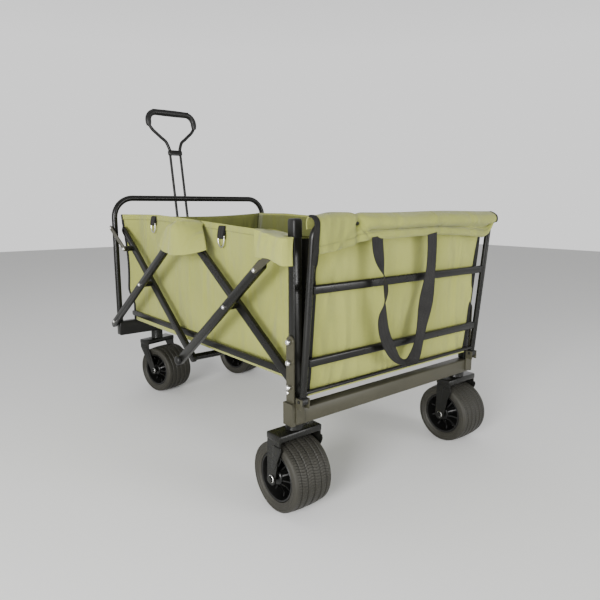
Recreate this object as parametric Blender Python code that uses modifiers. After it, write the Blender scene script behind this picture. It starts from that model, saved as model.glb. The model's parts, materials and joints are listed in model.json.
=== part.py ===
"""Folding wagon with a pull handle: steel tube frame, scissor sides, fabric basket, drop tailgate.

Metres, +Z up. +X runs from the tailgate towards the pull handle and +Y to the wagon's left side.
The origin is on the ground under the middle of the whole object.
"""

import math

import bmesh
import bpy
import numpy as np
from mathutils import Matrix, Vector

# ---------------------------------------------------------------- driving sizes
LENGTH = 0.911            # rear post plane to front post plane
POST_Y = 0.285            # middle of the wagon to the middle of a post
ORIGIN_SHIFT = 0.5055     # rear post plane to the middle of the whole object

GAP = 0.0003              # between pieces that touch
PIVOT_GAP = 0.0005        # round a pin that turns
BITE = 0.0010             # pieces that are joined into one run this far into each other
CUT_PAST = 0.0100         # a cutter runs this far past the wall

# ---------------------------------------------------------------- wheels
WHEEL_RADIUS = 0.0756
WHEEL_WIDTH = 0.094
RIM_RADIUS = 0.0520
RIM_SIDE_SET_IN = 0.004   # rim face inside the tyre's side
WHEEL_SIDE_GAP = 0.0040   # wheel side to fork leg
AXLE_RADIUS = 0.0050
BOLT_RADIUS = 0.0078
BOLT_HEIGHT = 0.0050
TYRE_SHOULDER = 0.0135
TYRE_CROWN = 0.0030       # middle of the tread above its shoulders
TREAD_STEP = 0.0009       # drop of the tread where its flat middle ends
TREAD_FLAT = 0.0210       # from the middle of the tread to that place
BEAD_SET_IN = 0.0010
RIM_LIP = 0.0040
RIM_TAPER = 0.0070
RIM_INSIDE = 0.0240       # half width between the rim's two inner shoulders
DISH_RADIUS = 0.0200
DISH_HALF = 0.0195
HUB_RADIUS = 0.0140
HUB_HALF = 0.0390
REAR_WHEEL_IN = 0.0085    # middle of a rear wheel inside the middle of its post
REAR_AXLE_X = 0.0214      # ahead of the rear post plane
CASTER_Y = 0.1540
CASTER_X = 0.0140         # swivel axis, ahead of the front post plane
CASTER_TRAIL = 0.0420
CASTER_TURN = math.radians(14.0)

# ---------------------------------------------------------------- forks
FORK_TOP = 0.1750
CROWN_HEIGHT = 0.0150
CROWN_DEPTH = 0.0440
CROWN_LIP = 0.0012        # crown past the legs, at each side
LEG_THICK = 0.0035
LEG_TOP_WIDTH = 0.0400
LEG_EYE_RADIUS = 0.0130
LEG_SHOULDER = 0.0120     # leg keeps its full width this far below the crown
BEARING_SINK = 0.0060     # bearing into the crown
FRAME_ROUND = 0.0030
BEARING_RADIUS = 0.0190
REAR_CROWN_X = 0.0130

# ---------------------------------------------------------------- rear frame
BEAM_BOTTOM = 0.1900
BEAM_HEIGHT = 0.0340
BEAM_DEPTH = 0.0280
POST_SIZE = 0.0200
POST_TOP = 0.5950
POST_ROUND = 0.0025
LINK_BOSS_RADIUS = 0.0064
BRACKET_THICK = 0.0030
BRACKET_TOP = 0.3720
BRACKET_WIDTH = 0.0240
BEAM_END_THICK = 0.0095
BEAM_END_RISE = 0.0120
BRACKET_RIVETS = (0.3600, 0.3180, 0.2680)
HINGE_PLATE = 0.0030
HINGE_WIDTH = 0.0215
HINGE_LOW = 0.1960
HINGE_BASE_GAP = 0.0020   # tailgate foot to the hinge's base
HINGE_ABOVE = 0.0060      # cheek above the pin's middle
HINGE_BELOW = 0.0150

# ---------------------------------------------------------------- front frame
FRONT_BEAM_BOTTOM = 0.2050
FRONT_BEAM_HEIGHT = 0.0450
FRONT_BEAM_PAST = 0.0070  # front beam's end outside the middle of the push bar's leg
HOOP_TOP = 0.6540
HOOP_RADIUS = 0.0090
HOOP_BEND = 0.0620

# ---------------------------------------------------------------- scissor sides
TUBE_WIDTH = 0.0220       # flat-oval tube, across its wide side
TUBE_THICK = 0.0110
TUBE_ROUND = 0.0042
POST_SIDE_GAP = 0.0020    # post face to the tubes beside it
FOOT_PIVOT_X = 0.0100     # ahead of the post plane
FOOT_PIVOT_Z = 0.2535
APEX_Z = 0.5500
CROSSING_SHARE = 0.4850   # crossing's place along a riser, from its foot
CENTRE_LOW_Z = 0.2240
FOOT_END = 0.0150         # tube past its foot pivot
FRONT_FOOT_END = 0.0300
TUBE_END = 0.0130         # tube past any other pivot
LINK_X = 0.1000           # link pin on a strut, ahead of the post plane
LINK_POST_Z = 0.5517
STRUT_PAST_LINK = 0.0300
LINK_THICK = 0.0030
LINK_WIDTH = 0.0160
RIVET_RADIUS = 0.0055
RIVET_HEIGHT = 0.0030
RIVET_TOP_RADIUS = 0.0033
LOW_RIVET_HEIGHT = 0.0012
BOSS_RADIUS = 0.0080
CROSS_TUBE_RADIUS = 0.0090

# ---------------------------------------------------------------- bottom side rails
RAIL_Z = 0.2750
RAIL_PIVOT_X = 0.0140
RAIL_WIDTH = 0.0160
RAIL_THICK = 0.0080
RAIL_ROUND = 0.0030
RAIL_SIDE_GAP = 0.0040
RAIL_END = 0.0090         # rail past its pivot
RAIL_OVERLAP = 0.0120

# ---------------------------------------------------------------- fabric
FABRIC_THICK = 0.0020
FABRIC_GAP = 0.0025       # fabric to the rails beside it
FLOOR_Z = 0.2595
FLOOR_THICK = 0.0040
FLOOR_BACK = 0.0060       # floor behind the rear post plane
SIDE_TOP_REAR = 0.5680
SIDE_TOP_FRONT = 0.5940
SIDE_TOP_MIDDLE = 0.5872
SIDE_RISE = 0.1200        # from the middle forward to where the top edge is level
PANEL_END_REAR = 0.0120
PANEL_END_FRONT = 0.0260
FRONT_PANEL_X = 0.0220    # behind the front post plane
POCKET_THICK = 0.0020
POCKET_GAP = 0.0020
APEX_POCKET_HALF = 0.1180
APEX_POCKET_TOP = 0.5860
APEX_POCKET_TIP = 0.0100
APEX_POCKET_CORNER = 0.5120
APEX_POCKET_LOW = 0.4970
CORNER_POCKET_LENGTH = 0.1160
CORNER_POCKET_BACK = 0.0060
CORNER_POCKET_LOW = 0.5050
CORNER_POCKET_RISE = 0.0220
CORNER_POCKET_SLANT = 0.0120
CORNER_POCKET_TOP = (0.5660, 0.5720)

# ---------------------------------------------------------------- tailgate, in its own leaning frame
TAILGATE_PIVOT_X = -0.0240
TAILGATE_PIVOT_Z = 0.2430
TAILGATE_LEAN = math.radians(5.0)
TAILGATE_HEIGHT = 0.3480
TAILGATE_TUBE = 0.0070
TAILGATE_BEND = 0.0300
TAILGATE_FOOT_RADIUS = 0.0090
TAILGATE_PIN_RADIUS = 0.0030
TAILGATE_PIN_PAST = 0.0015
BAR_WIDTH = 0.0180
BAR_THICK = 0.0100
BAR_ROUND = 0.0040
BAR_HEIGHTS = {"upper": 0.2230, "lower": 0.0770}
LOW_TUBE_HEIGHT = 0.0160
LOW_TUBE_RADIUS = 0.0045
TAILGATE_PANEL_SET_IN = 0.0100
TAILGATE_PANEL_SIDE = 0.0210  # panel's edge inside the middle of the frame tube
TAILGATE_PANEL_LOW = 0.0120
TAILGATE_PANEL_TOP = 0.3300
FLAP_IN = 0.0050          # flap's end inside the middle of the frame tube
FLAP_OUTER_LOW = 0.2880
FLAP_INNER_LOW = 0.3360
FLAP_SIDE = 0.0120
FLAP_TOP_GAP = 0.0025
FLAP_CORNER = 0.0080
STRAP_WIDTH = 0.0380
STRAP_THICK = 0.0025
STRAP_SET_OUT = 0.0185
STRAP_LINE = [(0.133, 0.303), (0.122, 0.262), (0.113, 0.220), (0.104, 0.172), (0.096, 0.126), (0.076, 0.084),
              (0.046, 0.052), (0.012, 0.036), (-0.018, 0.036), (-0.040, 0.052), (-0.050, 0.090),
              (-0.050, 0.130), (-0.049, 0.180), (-0.051, 0.235), (-0.042, 0.303)]

# ---------------------------------------------------------------- pull handle, in its own leaning frame
HANDLE_PIVOT_X = 0.0300   # ahead of the front post plane
HANDLE_PIVOT_Z = 0.2200
HANDLE_LEAN = math.radians(10.0)
ROD_Y = 0.0200
ROD_RADIUS = 0.0046
SLEEVE_WALL = 0.0020
SLEEVE_CLEARANCE = 0.0004
SLEEVE_TOP = 0.3450
SLEEVE_FLOOR = 0.0300
ROD_LOW = 0.3100
COUPLER_LOW = 0.5900
COUPLER_HEIGHT = 0.0140
COUPLER_HALF = 0.0260
COUPLER_DEPTH = 0.0140
LOOP_RADIUS = 0.0055
GRIP_RADIUS = 0.0110
LOOP_HALF = 0.0880
GRIP_START = 0.6900
LOOP_TOP = 0.7440
GRIP_RISE = 0.0020        # middle of the grip above its shoulders
GRIP_CORNER = 0.0300
NECK_GAP = 0.0040         # end of the neck below and inside the grip's end
NECK_LINE = [(0.0200, 0.6098), (0.0300, 0.6340), (0.0620, 0.6620)]
COUPLER_BITE = 0.0040
HANDLE_BLOCK_HALF = 0.0300
HANDLE_BLOCK_LOW = 0.0066
HANDLE_BLOCK_TOP = 0.0170
HANDLE_BLOCK_DEPTH = 0.0180
HANDLE_BLOCK_ROUND = 0.0014
HANDLE_CHEEK = 0.0030
HANDLE_CHEEK_GAP = 0.0010
HANDLE_CHEEK_HALF = 0.0120
HANDLE_CHEEK_PAST = 0.0100
HANDLE_PLATE = 0.0030
HANDLE_PLATE_LOW = 0.2060
HANDLE_PLATE_TOP = 0.2400
HANDLE_PIN_RADIUS = 0.0040
HANDLE_PIN_PAST = 0.0030
SLEEVE_LOW = 0.0040
SLEEVE_IN_CLAMP = 0.0040
CLAMP_HALF = 0.0100
CLAMP_HEIGHT = 0.0180

# ---------------------------------------------------------------- what follows from them
REAR_X = -ORIGIN_SHIFT
FRONT_X = REAR_X + LENGTH
MID_X = REAR_X + LENGTH / 2
POST_OUT = POST_Y + POST_SIZE / 2
POST_IN = POST_Y - POST_SIZE / 2
OUTER_Y = POST_OUT + POST_SIDE_GAP + TUBE_THICK / 2
INNER_Y = POST_IN - POST_SIDE_GAP - TUBE_THICK / 2
REAR_RAIL_Y = INNER_Y - TUBE_THICK / 2 - RAIL_SIDE_GAP - RAIL_THICK / 2
FRONT_RAIL_Y = REAR_RAIL_Y - RAIL_THICK - RAIL_SIDE_GAP
PANEL_Y = FRONT_RAIL_Y - RAIL_THICK / 2 - FABRIC_GAP - FABRIC_THICK / 2
FLOOR_HALF = PANEL_Y - FABRIC_THICK / 2 - GAP
REAR_WHEEL_Y = POST_Y - REAR_WHEEL_IN
FRONT_BEAM_HALF = POST_Y + FRONT_BEAM_PAST
TAILGATE_PANEL_HALF = POST_Y - TAILGATE_PANEL_SIDE
FLAP_HALF = POST_Y - FLAP_IN
REAR_LINK_Y = OUTER_Y + TUBE_THICK / 2 + POST_SIDE_GAP / 2 + LINK_THICK / 2
FRONT_LINK_Y = POST_OUT + POST_SIDE_GAP + LINK_THICK / 2
POCKET_Y = REAR_LINK_Y + LINK_THICK / 2 + POCKET_GAP + POCKET_THICK / 2
FORK_INSIDE = WHEEL_WIDTH / 2 + WHEEL_SIDE_GAP
SIDES = {"left": 1, "right": -1}

RISER_FOOT = Vector((FOOT_PIVOT_X, FOOT_PIVOT_Z))
APEX = Vector((LENGTH / 2, APEX_Z))
CROSSING = RISER_FOOT.lerp(APEX, CROSSING_SHARE)
CENTRE_LOW = Vector((LENGTH / 2, CENTRE_LOW_Z))
STRUT_DIRECTION = (CROSSING - CENTRE_LOW).normalized()
LINK_PIN = CROSSING + STRUT_DIRECTION * ((LINK_X - CROSSING.x) / STRUT_DIRECTION.x)


# ---------------------------------------------------------------- scene helpers
def clear_scene():
    for obj in list(bpy.data.objects):
        bpy.data.objects.remove(obj, do_unlink=True)


def new_collection(name):
    collection = bpy.data.collections.new(name)
    bpy.context.scene.collection.children.link(collection)
    return collection


def material(name, colour, roughness, metallic=0.0):
    found = bpy.data.materials.get(name)
    if found:
        return found
    made = bpy.data.materials.new(name)
    made.use_nodes = True
    shader = made.node_tree.nodes["Principled BSDF"]
    shader.inputs["Base Color"].default_value = (*colour, 1.0)
    shader.inputs["Roughness"].default_value = roughness
    shader.inputs["Metallic"].default_value = metallic
    made.diffuse_color = (*colour, 1.0)
    return made


def black_steel():
    return material("black_steel", (0.028, 0.028, 0.026), 0.38, 0.35)


def dark_steel():
    return material("dark_steel", (0.075, 0.073, 0.060), 0.42, 0.35)


def tyre_rubber():
    return material("tyre_rubber", (0.040, 0.038, 0.034), 0.78)


def rim_plastic():
    return material("rim_plastic", (0.018, 0.018, 0.018), 0.45)


def black_plastic():
    return material("black_plastic", (0.022, 0.022, 0.022), 0.50)


def canvas():
    return material("canvas", (0.430, 0.440, 0.210), 0.90)


def webbing():
    return material("webbing", (0.030, 0.030, 0.028), 0.85)


def add(name, mesh, finish, parent=None, smooth=True):
    """Links a mesh whose coordinates are already the wagon's own, and hangs it on its body's empty."""
    obj = bpy.data.objects.new(name, mesh)
    WAGON.objects.link(obj)
    mesh.materials.append(finish)
    if smooth:
        mesh.shade_smooth()
        mesh.set_sharp_from_angle(angle=math.radians(35))
    if parent:
        obj.parent = parent
        obj.matrix_parent_inverse = parent.matrix_world.inverted()
    return obj


def body(name, place, parent=None):
    """An empty on a moving body's joint axis."""
    empty = bpy.data.objects.new(name, None)
    empty.empty_display_size = 0.03
    WAGON.objects.link(empty)
    empty.location = Vector(place) - (parent.matrix_world.translation if parent else Vector())
    empty.parent = parent
    bpy.context.view_layer.update()
    return empty


def bevel(obj, width, segments=2, angle=30):
    rounded = obj.modifiers.new("rounding", "BEVEL")
    rounded.width = width
    rounded.segments = segments
    rounded.limit_method = "ANGLE"
    rounded.angle_limit = math.radians(angle)
    return obj


def combine(obj, mesh, operation, name):
    """Joins a mesh to the object, or cuts it away, with an exact Boolean."""
    helper = bpy.data.objects.new(f"{obj.name}_{name}", mesh)
    CUTTERS.objects.link(helper)
    helper.hide_render = True
    helper.display_type = "WIRE"
    step = obj.modifiers.new(name, "BOOLEAN")
    step.operation = operation
    step.solver = "EXACT"
    step.object = helper
    return obj


# ---------------------------------------------------------------- shapes
def mesh_from(bm, name, place=None):
    if place is not None:
        bm.transform(place)
    bmesh.ops.recalc_face_normals(bm, faces=bm.faces)
    mesh = bpy.data.meshes.new(name)
    bm.to_mesh(mesh)
    bm.free()
    return mesh


def box(name, low, high, place=None):
    low, high = Vector(low), Vector(high)
    bm = bmesh.new()
    bmesh.ops.create_cube(bm, size=1.0)
    size = high - low
    centre = (high + low) / 2
    stretch = Matrix.Diagonal((*size, 1.0))
    bmesh.ops.transform(bm, matrix=Matrix.Translation(centre) @ stretch, verts=bm.verts)
    return mesh_from(bm, name, place)


def rod(name, start, end, radius, sides=20, place=None, end_radius=None):
    start, end = Vector(start), Vector(end)
    along = end - start
    bm = bmesh.new()
    bmesh.ops.create_cone(bm, cap_ends=True, segments=sides, radius1=radius,
                          radius2=radius if end_radius is None else end_radius, depth=along.length)
    turn = Vector((0, 0, 1)).rotation_difference(along).to_matrix().to_4x4()
    bmesh.ops.transform(bm, matrix=Matrix.Translation((start + end) / 2) @ turn, verts=bm.verts)
    return mesh_from(bm, name, place)


def joined_curve(name, curve, matrix, place=None):
    """The curve object's mesh, with its caps welded to its sides, in the wagon's coordinates."""
    guide = bpy.data.objects.new(name, curve)
    WAGON.objects.link(guide)
    guide.matrix_world = matrix
    bpy.context.view_layer.update()
    mesh = bpy.data.meshes.new_from_object(guide.evaluated_get(bpy.context.evaluated_depsgraph_get()))
    bpy.data.objects.remove(guide, do_unlink=True)
    bm = bmesh.new()
    bm.from_mesh(mesh)
    bpy.data.meshes.remove(mesh)
    bm.transform(matrix)
    bmesh.ops.remove_doubles(bm, verts=bm.verts, dist=1e-5)
    return mesh_from(bm, name, place)


def tube(name, points, radius, sides=2, place=None):
    """A round tube along a list of points."""
    curve = bpy.data.curves.new(name, "CURVE")
    curve.dimensions = "3D"
    curve.bevel_depth = radius
    curve.bevel_resolution = sides
    curve.use_fill_caps = True
    spline = curve.splines.new("POLY")
    spline.points.add(len(points) - 1)
    for target, point in zip(spline.points, points):
        target.co = (*point, 1.0)
    return joined_curve(name, curve, Matrix.Identity(4), place)


def plate(name, outline, middle_y, thickness, place=None):
    """A flat piece: an outline of (x, z) points, given a thickness along Y."""
    curve = bpy.data.curves.new(name, "CURVE")
    curve.dimensions = "2D"
    curve.fill_mode = "BOTH"
    curve.extrude = thickness / 2
    spline = curve.splines.new("POLY")
    spline.points.add(len(outline) - 1)
    for target, point in zip(spline.points, outline):
        target.co = (point[0], point[1], 0.0, 1.0)
    spline.use_cyclic_u = True
    upright = Matrix.Translation((0, middle_y, 0)) @ Matrix.Rotation(math.pi / 2, 4, "X")
    return joined_curve(name, curve, upright, place)


def arc(centre, radius, start, end, steps):
    """Points along an arc, angles in degrees."""
    angles = np.radians(np.linspace(start, end, steps + 1))
    return [(centre[0] + radius * math.cos(a), centre[1] + radius * math.sin(a)) for a in angles]


def stadium(start, end, width, past_start, past_end, steps=6):
    """The outline of a bar with round ends, which runs past its two pins."""
    start, end = Vector(start), Vector(end)
    along = (end - start).normalized()
    radius = width / 2
    first = start - along * (past_start - radius)
    last = end + along * (past_end - radius)
    turn = math.degrees(math.atan2(along.y, along.x))
    return (arc(last, radius, turn - 90, turn + 90, steps)
            + arc(first, radius, turn + 90, turn + 270, steps))


def turned(name, profile, centre, finish, steps, parent, turn=0.0):
    """A turned shape: a closed (radius, along) profile swept round an axis that lies along Y."""
    bm = bmesh.new()
    points = [bm.verts.new((radius, 0.0, along)) for radius, along in profile]
    for first, second in zip(points, points[1:] + points[:1]):
        bm.edges.new((first, second))
    mesh = bpy.data.meshes.new(name)
    bm.to_mesh(mesh)
    bm.free()
    obj = add(name, mesh, finish, smooth=False)
    obj.matrix_world = (Matrix.Translation(centre) @ Matrix.Rotation(turn, 4, "Z")
                        @ Matrix.Rotation(-math.pi / 2, 4, "X"))
    if parent:
        obj.parent = parent
        obj.matrix_parent_inverse = parent.matrix_world.inverted()
    sweep = obj.modifiers.new("turning", "SCREW")
    sweep.angle = 2 * math.pi
    sweep.steps = steps
    sweep.render_steps = steps
    sweep.use_merge_vertices = True
    sweep.merge_threshold = 0.00005
    sweep.use_smooth_shade = True
    return obj


# ---------------------------------------------------------------- wheels and forks
def wheel(name, side, centre, parent, turn=0.0):
    half = WHEEL_WIDTH / 2
    outer = WHEEL_RADIUS
    shoulder = arc((outer - TYRE_CROWN - TYRE_SHOULDER, half - TYRE_SHOULDER), TYRE_SHOULDER, 8, 90, 3)
    tyre = [(outer, 0.0)]
    tyre += [(outer - TREAD_STEP, -TREAD_FLAT)]
    tyre += [(r, -a) for r, a in shoulder]
    tyre += [(RIM_RADIUS, -half + BEAD_SET_IN), (RIM_RADIUS, half - BEAD_SET_IN)]
    tyre += shoulder[::-1]
    tyre += [(outer - TREAD_STEP, TREAD_FLAT)]
    turned(f"{name}_tyre_{side}", tyre, centre, tyre_rubber(), 24, parent, turn)

    face = half - RIM_SIDE_SET_IN
    edge = RIM_RADIUS - GAP
    bore = AXLE_RADIUS + PIVOT_GAP
    near_side = [(bore, HUB_HALF), (HUB_RADIUS, HUB_HALF), (DISH_RADIUS, DISH_HALF),
                 (edge - RIM_TAPER, RIM_INSIDE), (edge - RIM_LIP, face), (edge, face)]
    rim = [(radius, -along) for radius, along in near_side[::-1]] + near_side
    turned(f"{name}_rim_{side}", rim, centre, rim_plastic(), 24, parent, turn)


def fork(name, crown, axle_ahead, beam_bottom, parent, place_turn=0.0):
    """A fork with its crown over the wheel, two legs down to the axle, and the axle bolt through them."""
    place = (Matrix.Translation((crown[0], crown[1], 0)) @ Matrix.Rotation(place_turn, 4, "Z"))
    half = FORK_INSIDE + LEG_THICK
    crown_half = half + CROWN_LIP
    low = FORK_TOP - CROWN_HEIGHT
    crown_box = box(name, (-CROWN_DEPTH / 2, -crown_half, low), (CROWN_DEPTH / 2, crown_half,
                                                                 FORK_TOP), place)
    obj = add(name, crown_box, black_steel(), parent)
    bevel(obj, FRAME_ROUND)
    eye = (axle_ahead, WHEEL_RADIUS)
    top = low + CROWN_HEIGHT / 2
    outline = [(LEG_TOP_WIDTH / 2, top), (-LEG_TOP_WIDTH / 2, top), (-LEG_TOP_WIDTH / 2, low - LEG_SHOULDER)]
    outline += arc(eye, LEG_EYE_RADIUS, 190, 350, 8)
    outline += [(LEG_TOP_WIDTH / 2, low - LEG_SHOULDER)]
    for label, way in SIDES.items():
        leg = plate("leg", outline, way * (FORK_INSIDE + LEG_THICK / 2), LEG_THICK, place)
        combine(obj, leg, "UNION", f"leg_{label}")
    reach = half + BOLT_HEIGHT
    axle_end = reach - BITE
    axle = rod("axle", (eye[0], -axle_end, eye[1]), (eye[0], axle_end, eye[1]), AXLE_RADIUS, 16, place)
    combine(obj, axle, "UNION", "axle")
    for label, way in SIDES.items():
        head_start = (eye[0], way * (half - BITE), eye[1])
        head = rod("bolt", head_start, (eye[0], way * reach, eye[1]), BOLT_RADIUS, 6, place)
        combine(obj, head, "UNION", f"bolt_{label}")
    bearing = rod("bearing", (0, 0, FORK_TOP - BEARING_SINK), (0, 0, beam_bottom - GAP),
                  BEARING_RADIUS, 24, place)
    combine(obj, bearing, "UNION", "bearing")
    return obj


def caster_axle(way):
    """The middle of a front wheel: behind its swivel axis, turned with the fork."""
    back = Matrix.Rotation(CASTER_TURN, 3, "Z") @ Vector((-CASTER_TRAIL, 0, 0))
    return Vector((FRONT_X + CASTER_X, way * CASTER_Y, WHEEL_RADIUS)) + back


def make_wheels(front_frame):
    for side, way in SIDES.items():
        fork(f"rear_fork_{side}", (REAR_X + REAR_CROWN_X, way * REAR_WHEEL_Y), REAR_AXLE_X - REAR_CROWN_X,
             BEAM_BOTTOM, None)
        centre = (REAR_X + REAR_AXLE_X, way * REAR_WHEEL_Y, WHEEL_RADIUS)
        wheel("rear", side, centre, body(f"rear_wheel_{side}_axis", centre))
        swivel = body(f"caster_{side}_axis", (FRONT_X + CASTER_X, way * CASTER_Y, FORK_TOP), front_frame)
        fork(f"caster_fork_{side}", (FRONT_X + CASTER_X, way * CASTER_Y), -CASTER_TRAIL, FRONT_BEAM_BOTTOM,
             swivel, CASTER_TURN)
        centre = caster_axle(way)
        wheel("front", side, centre, body(f"front_wheel_{side}_axis", centre, swivel), CASTER_TURN)


# ---------------------------------------------------------------- rear frame
def make_rear_frame():
    half_depth = BEAM_DEPTH / 2
    beam_top = BEAM_BOTTOM + BEAM_HEIGHT
    beam = add("rear_beam", box("rear_beam", (REAR_X - half_depth, -POST_OUT, BEAM_BOTTOM),
                                (REAR_X + half_depth, POST_OUT, beam_top)), dark_steel())
    bevel(beam, FRAME_ROUND)
    for side, way in SIDES.items():
        half = POST_SIZE / 2
        post = add(f"rear_post_{side}",
                   box("post", (REAR_X - half, way * POST_Y - half, beam_top + GAP),
                       (REAR_X + half, way * POST_Y + half, POST_TOP)), black_steel())
        bevel(post, POST_ROUND)
        boss_end = REAR_LINK_Y - LINK_THICK / 2 - GAP
        boss_start = (REAR_X, way * (POST_OUT - BITE), LINK_POST_Z)
        boss = rod("boss", boss_start, (REAR_X, way * boss_end, LINK_POST_Z), LINK_BOSS_RADIUS, 16)
        combine(post, boss, "UNION", "link_boss")

        outline = [(REAR_X - BRACKET_WIDTH / 2, BEAM_BOTTOM), (REAR_X + BRACKET_WIDTH / 2, BEAM_BOTTOM)]
        outline += arc((REAR_X, BRACKET_TOP - BRACKET_WIDTH / 2), BRACKET_WIDTH / 2, 0, 180, 8)
        bracket = add(f"rear_bracket_{side}",
                      plate("bracket", outline, way * (POST_OUT + GAP + BRACKET_THICK / 2), BRACKET_THICK),
                      dark_steel())
        first = POST_OUT + GAP
        near, far = sorted((way * first, way * (first + BEAM_END_THICK)))
        low = (REAR_X - half_depth, near, BEAM_BOTTOM)
        high = (REAR_X + half_depth, far, beam_top + BEAM_END_RISE)
        combine(bracket, box("end", low, high), "UNION", "beam_end")
        for number, z in enumerate(BRACKET_RIVETS):
            rivet_head(bracket, (REAR_X, z), way, first + BRACKET_THICK, f"rivet_{number}")

        make_tailgate_hinge(side, way)


def make_tailgate_hinge(side, way):
    """The bracket behind the beam that the tailgate's foot turns in: a base, two cheeks and a pin hole."""
    back = REAR_X - BEAM_DEPTH / 2 - GAP
    inner = way * POST_Y - HINGE_WIDTH / 2
    outer = inner + HINGE_WIDTH
    pivot_x = REAR_X + TAILGATE_PIVOT_X
    base = add(f"tailgate_hinge_{side}",
               box("base", (back - HINGE_PLATE, inner, HINGE_LOW),
                   (back, outer, TAILGATE_PIVOT_Z - TAILGATE_FOOT_RADIUS - HINGE_BASE_GAP)), dark_steel())
    for label, start in (("inner", inner), ("outer", outer - HINGE_PLATE)):
        low = (pivot_x - TAILGATE_FOOT_RADIUS, start, TAILGATE_PIVOT_Z - HINGE_BELOW)
        high = (back, start + HINGE_PLATE, TAILGATE_PIVOT_Z + HINGE_ABOVE)
        combine(base, box("cheek", low, high), "UNION", f"cheek_{label}")
    hole = rod("hole", (pivot_x, inner - CUT_PAST, TAILGATE_PIVOT_Z),
               (pivot_x, outer + CUT_PAST, TAILGATE_PIVOT_Z), TAILGATE_PIN_RADIUS + PIVOT_GAP, 16)
    combine(base, hole, "DIFFERENCE", "pin_hole")


# ---------------------------------------------------------------- front frame
def hoop_line():
    """The push bar: up one side, round a bend, across the top and down the other side."""
    top = HOOP_TOP - HOOP_RADIUS
    low = FRONT_BEAM_BOTTOM + FRONT_BEAM_HEIGHT + GAP
    right = arc((-POST_Y + HOOP_BEND, top - HOOP_BEND), HOOP_BEND, 180, 90, 8)
    left = arc((POST_Y - HOOP_BEND, top - HOOP_BEND), HOOP_BEND, 90, 0, 8)
    flat = [(-POST_Y, low)] + right + left + [(POST_Y, low)]
    return [(FRONT_X, y, z) for y, z in flat]


def make_front_frame(frame):
    half_depth = BEAM_DEPTH / 2
    beam = add("front_beam",
               box("front_beam", (FRONT_X - half_depth, -FRONT_BEAM_HALF, FRONT_BEAM_BOTTOM),
                   (FRONT_X + half_depth, FRONT_BEAM_HALF, FRONT_BEAM_BOTTOM + FRONT_BEAM_HEIGHT)),
               black_steel(), frame)
    bevel(beam, FRAME_ROUND)
    add("hoop", tube("hoop", hoop_line(), HOOP_RADIUS, 3), black_steel(), frame)
    middle = FRONT_X - FRONT_PANEL_X
    panel = box("front_panel", (middle - FABRIC_THICK / 2, -FLOOR_HALF, FLOOR_Z),
                (middle + FABRIC_THICK / 2, FLOOR_HALF, SIDE_TOP_FRONT))
    add("front_panel", panel, canvas(), frame, smooth=False)
    make_handle_bracket(frame)


def make_handle_bracket(frame):
    face = FRONT_X + BEAM_DEPTH / 2 + GAP
    pivot_x = FRONT_X + HANDLE_PIVOT_X
    outside = HANDLE_BLOCK_HALF + HANDLE_CHEEK_GAP + HANDLE_CHEEK
    obj = add("handle_bracket",
              box("base", (face, -outside, HANDLE_PLATE_LOW),
                  (face + HANDLE_PLATE, outside, HANDLE_PLATE_TOP)),
              dark_steel(), frame)
    for label, way in SIDES.items():
        inner, outer = sorted((way * (outside - HANDLE_CHEEK), way * outside))
        cheek = box("cheek", (face, inner, HANDLE_PIVOT_Z - HANDLE_CHEEK_HALF),
                    (pivot_x + HANDLE_CHEEK_PAST, outer, HANDLE_PIVOT_Z + HANDLE_CHEEK_HALF))
        combine(obj, cheek, "UNION", f"cheek_{label}")
    hole = rod("hole", (pivot_x, -outside - CUT_PAST, HANDLE_PIVOT_Z),
               (pivot_x, outside + CUT_PAST, HANDLE_PIVOT_Z), HANDLE_PIN_RADIUS + PIVOT_GAP, 16)
    combine(obj, hole, "DIFFERENCE", "pin_hole")


# ---------------------------------------------------------------- scissor sides
def at_rear(point):
    return (REAR_X + point[0], point[1])


def at_front(point):
    """The same place mirrored to the front half."""
    return (FRONT_X - point[0], point[1])


def flat_tube(name, start, end, y, past_start, past_end, parent):
    outline = stadium(start, end, TUBE_WIDTH, past_start, past_end)
    obj = add(name, plate(name, outline, y, TUBE_THICK), black_steel(), parent)
    return bevel(obj, TUBE_ROUND, 2, 50)


def pivot_boss(obj, point, way, start, end, name):
    """A round spacer along the pin between two tubes."""
    boss = rod("boss", (point[0], way * start, point[1]), (point[0], way * end, point[1]), BOSS_RADIUS, 16)
    return combine(obj, boss, "UNION", name)


def rivet_head(obj, point, way, surface, name):
    head = rod("rivet", (point[0], way * (surface - BITE), point[1]),
               (point[0], way * (surface + RIVET_HEIGHT), point[1]),
               RIVET_RADIUS, 12, None, RIVET_TOP_RADIUS)
    return combine(obj, head, "UNION", name)


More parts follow.
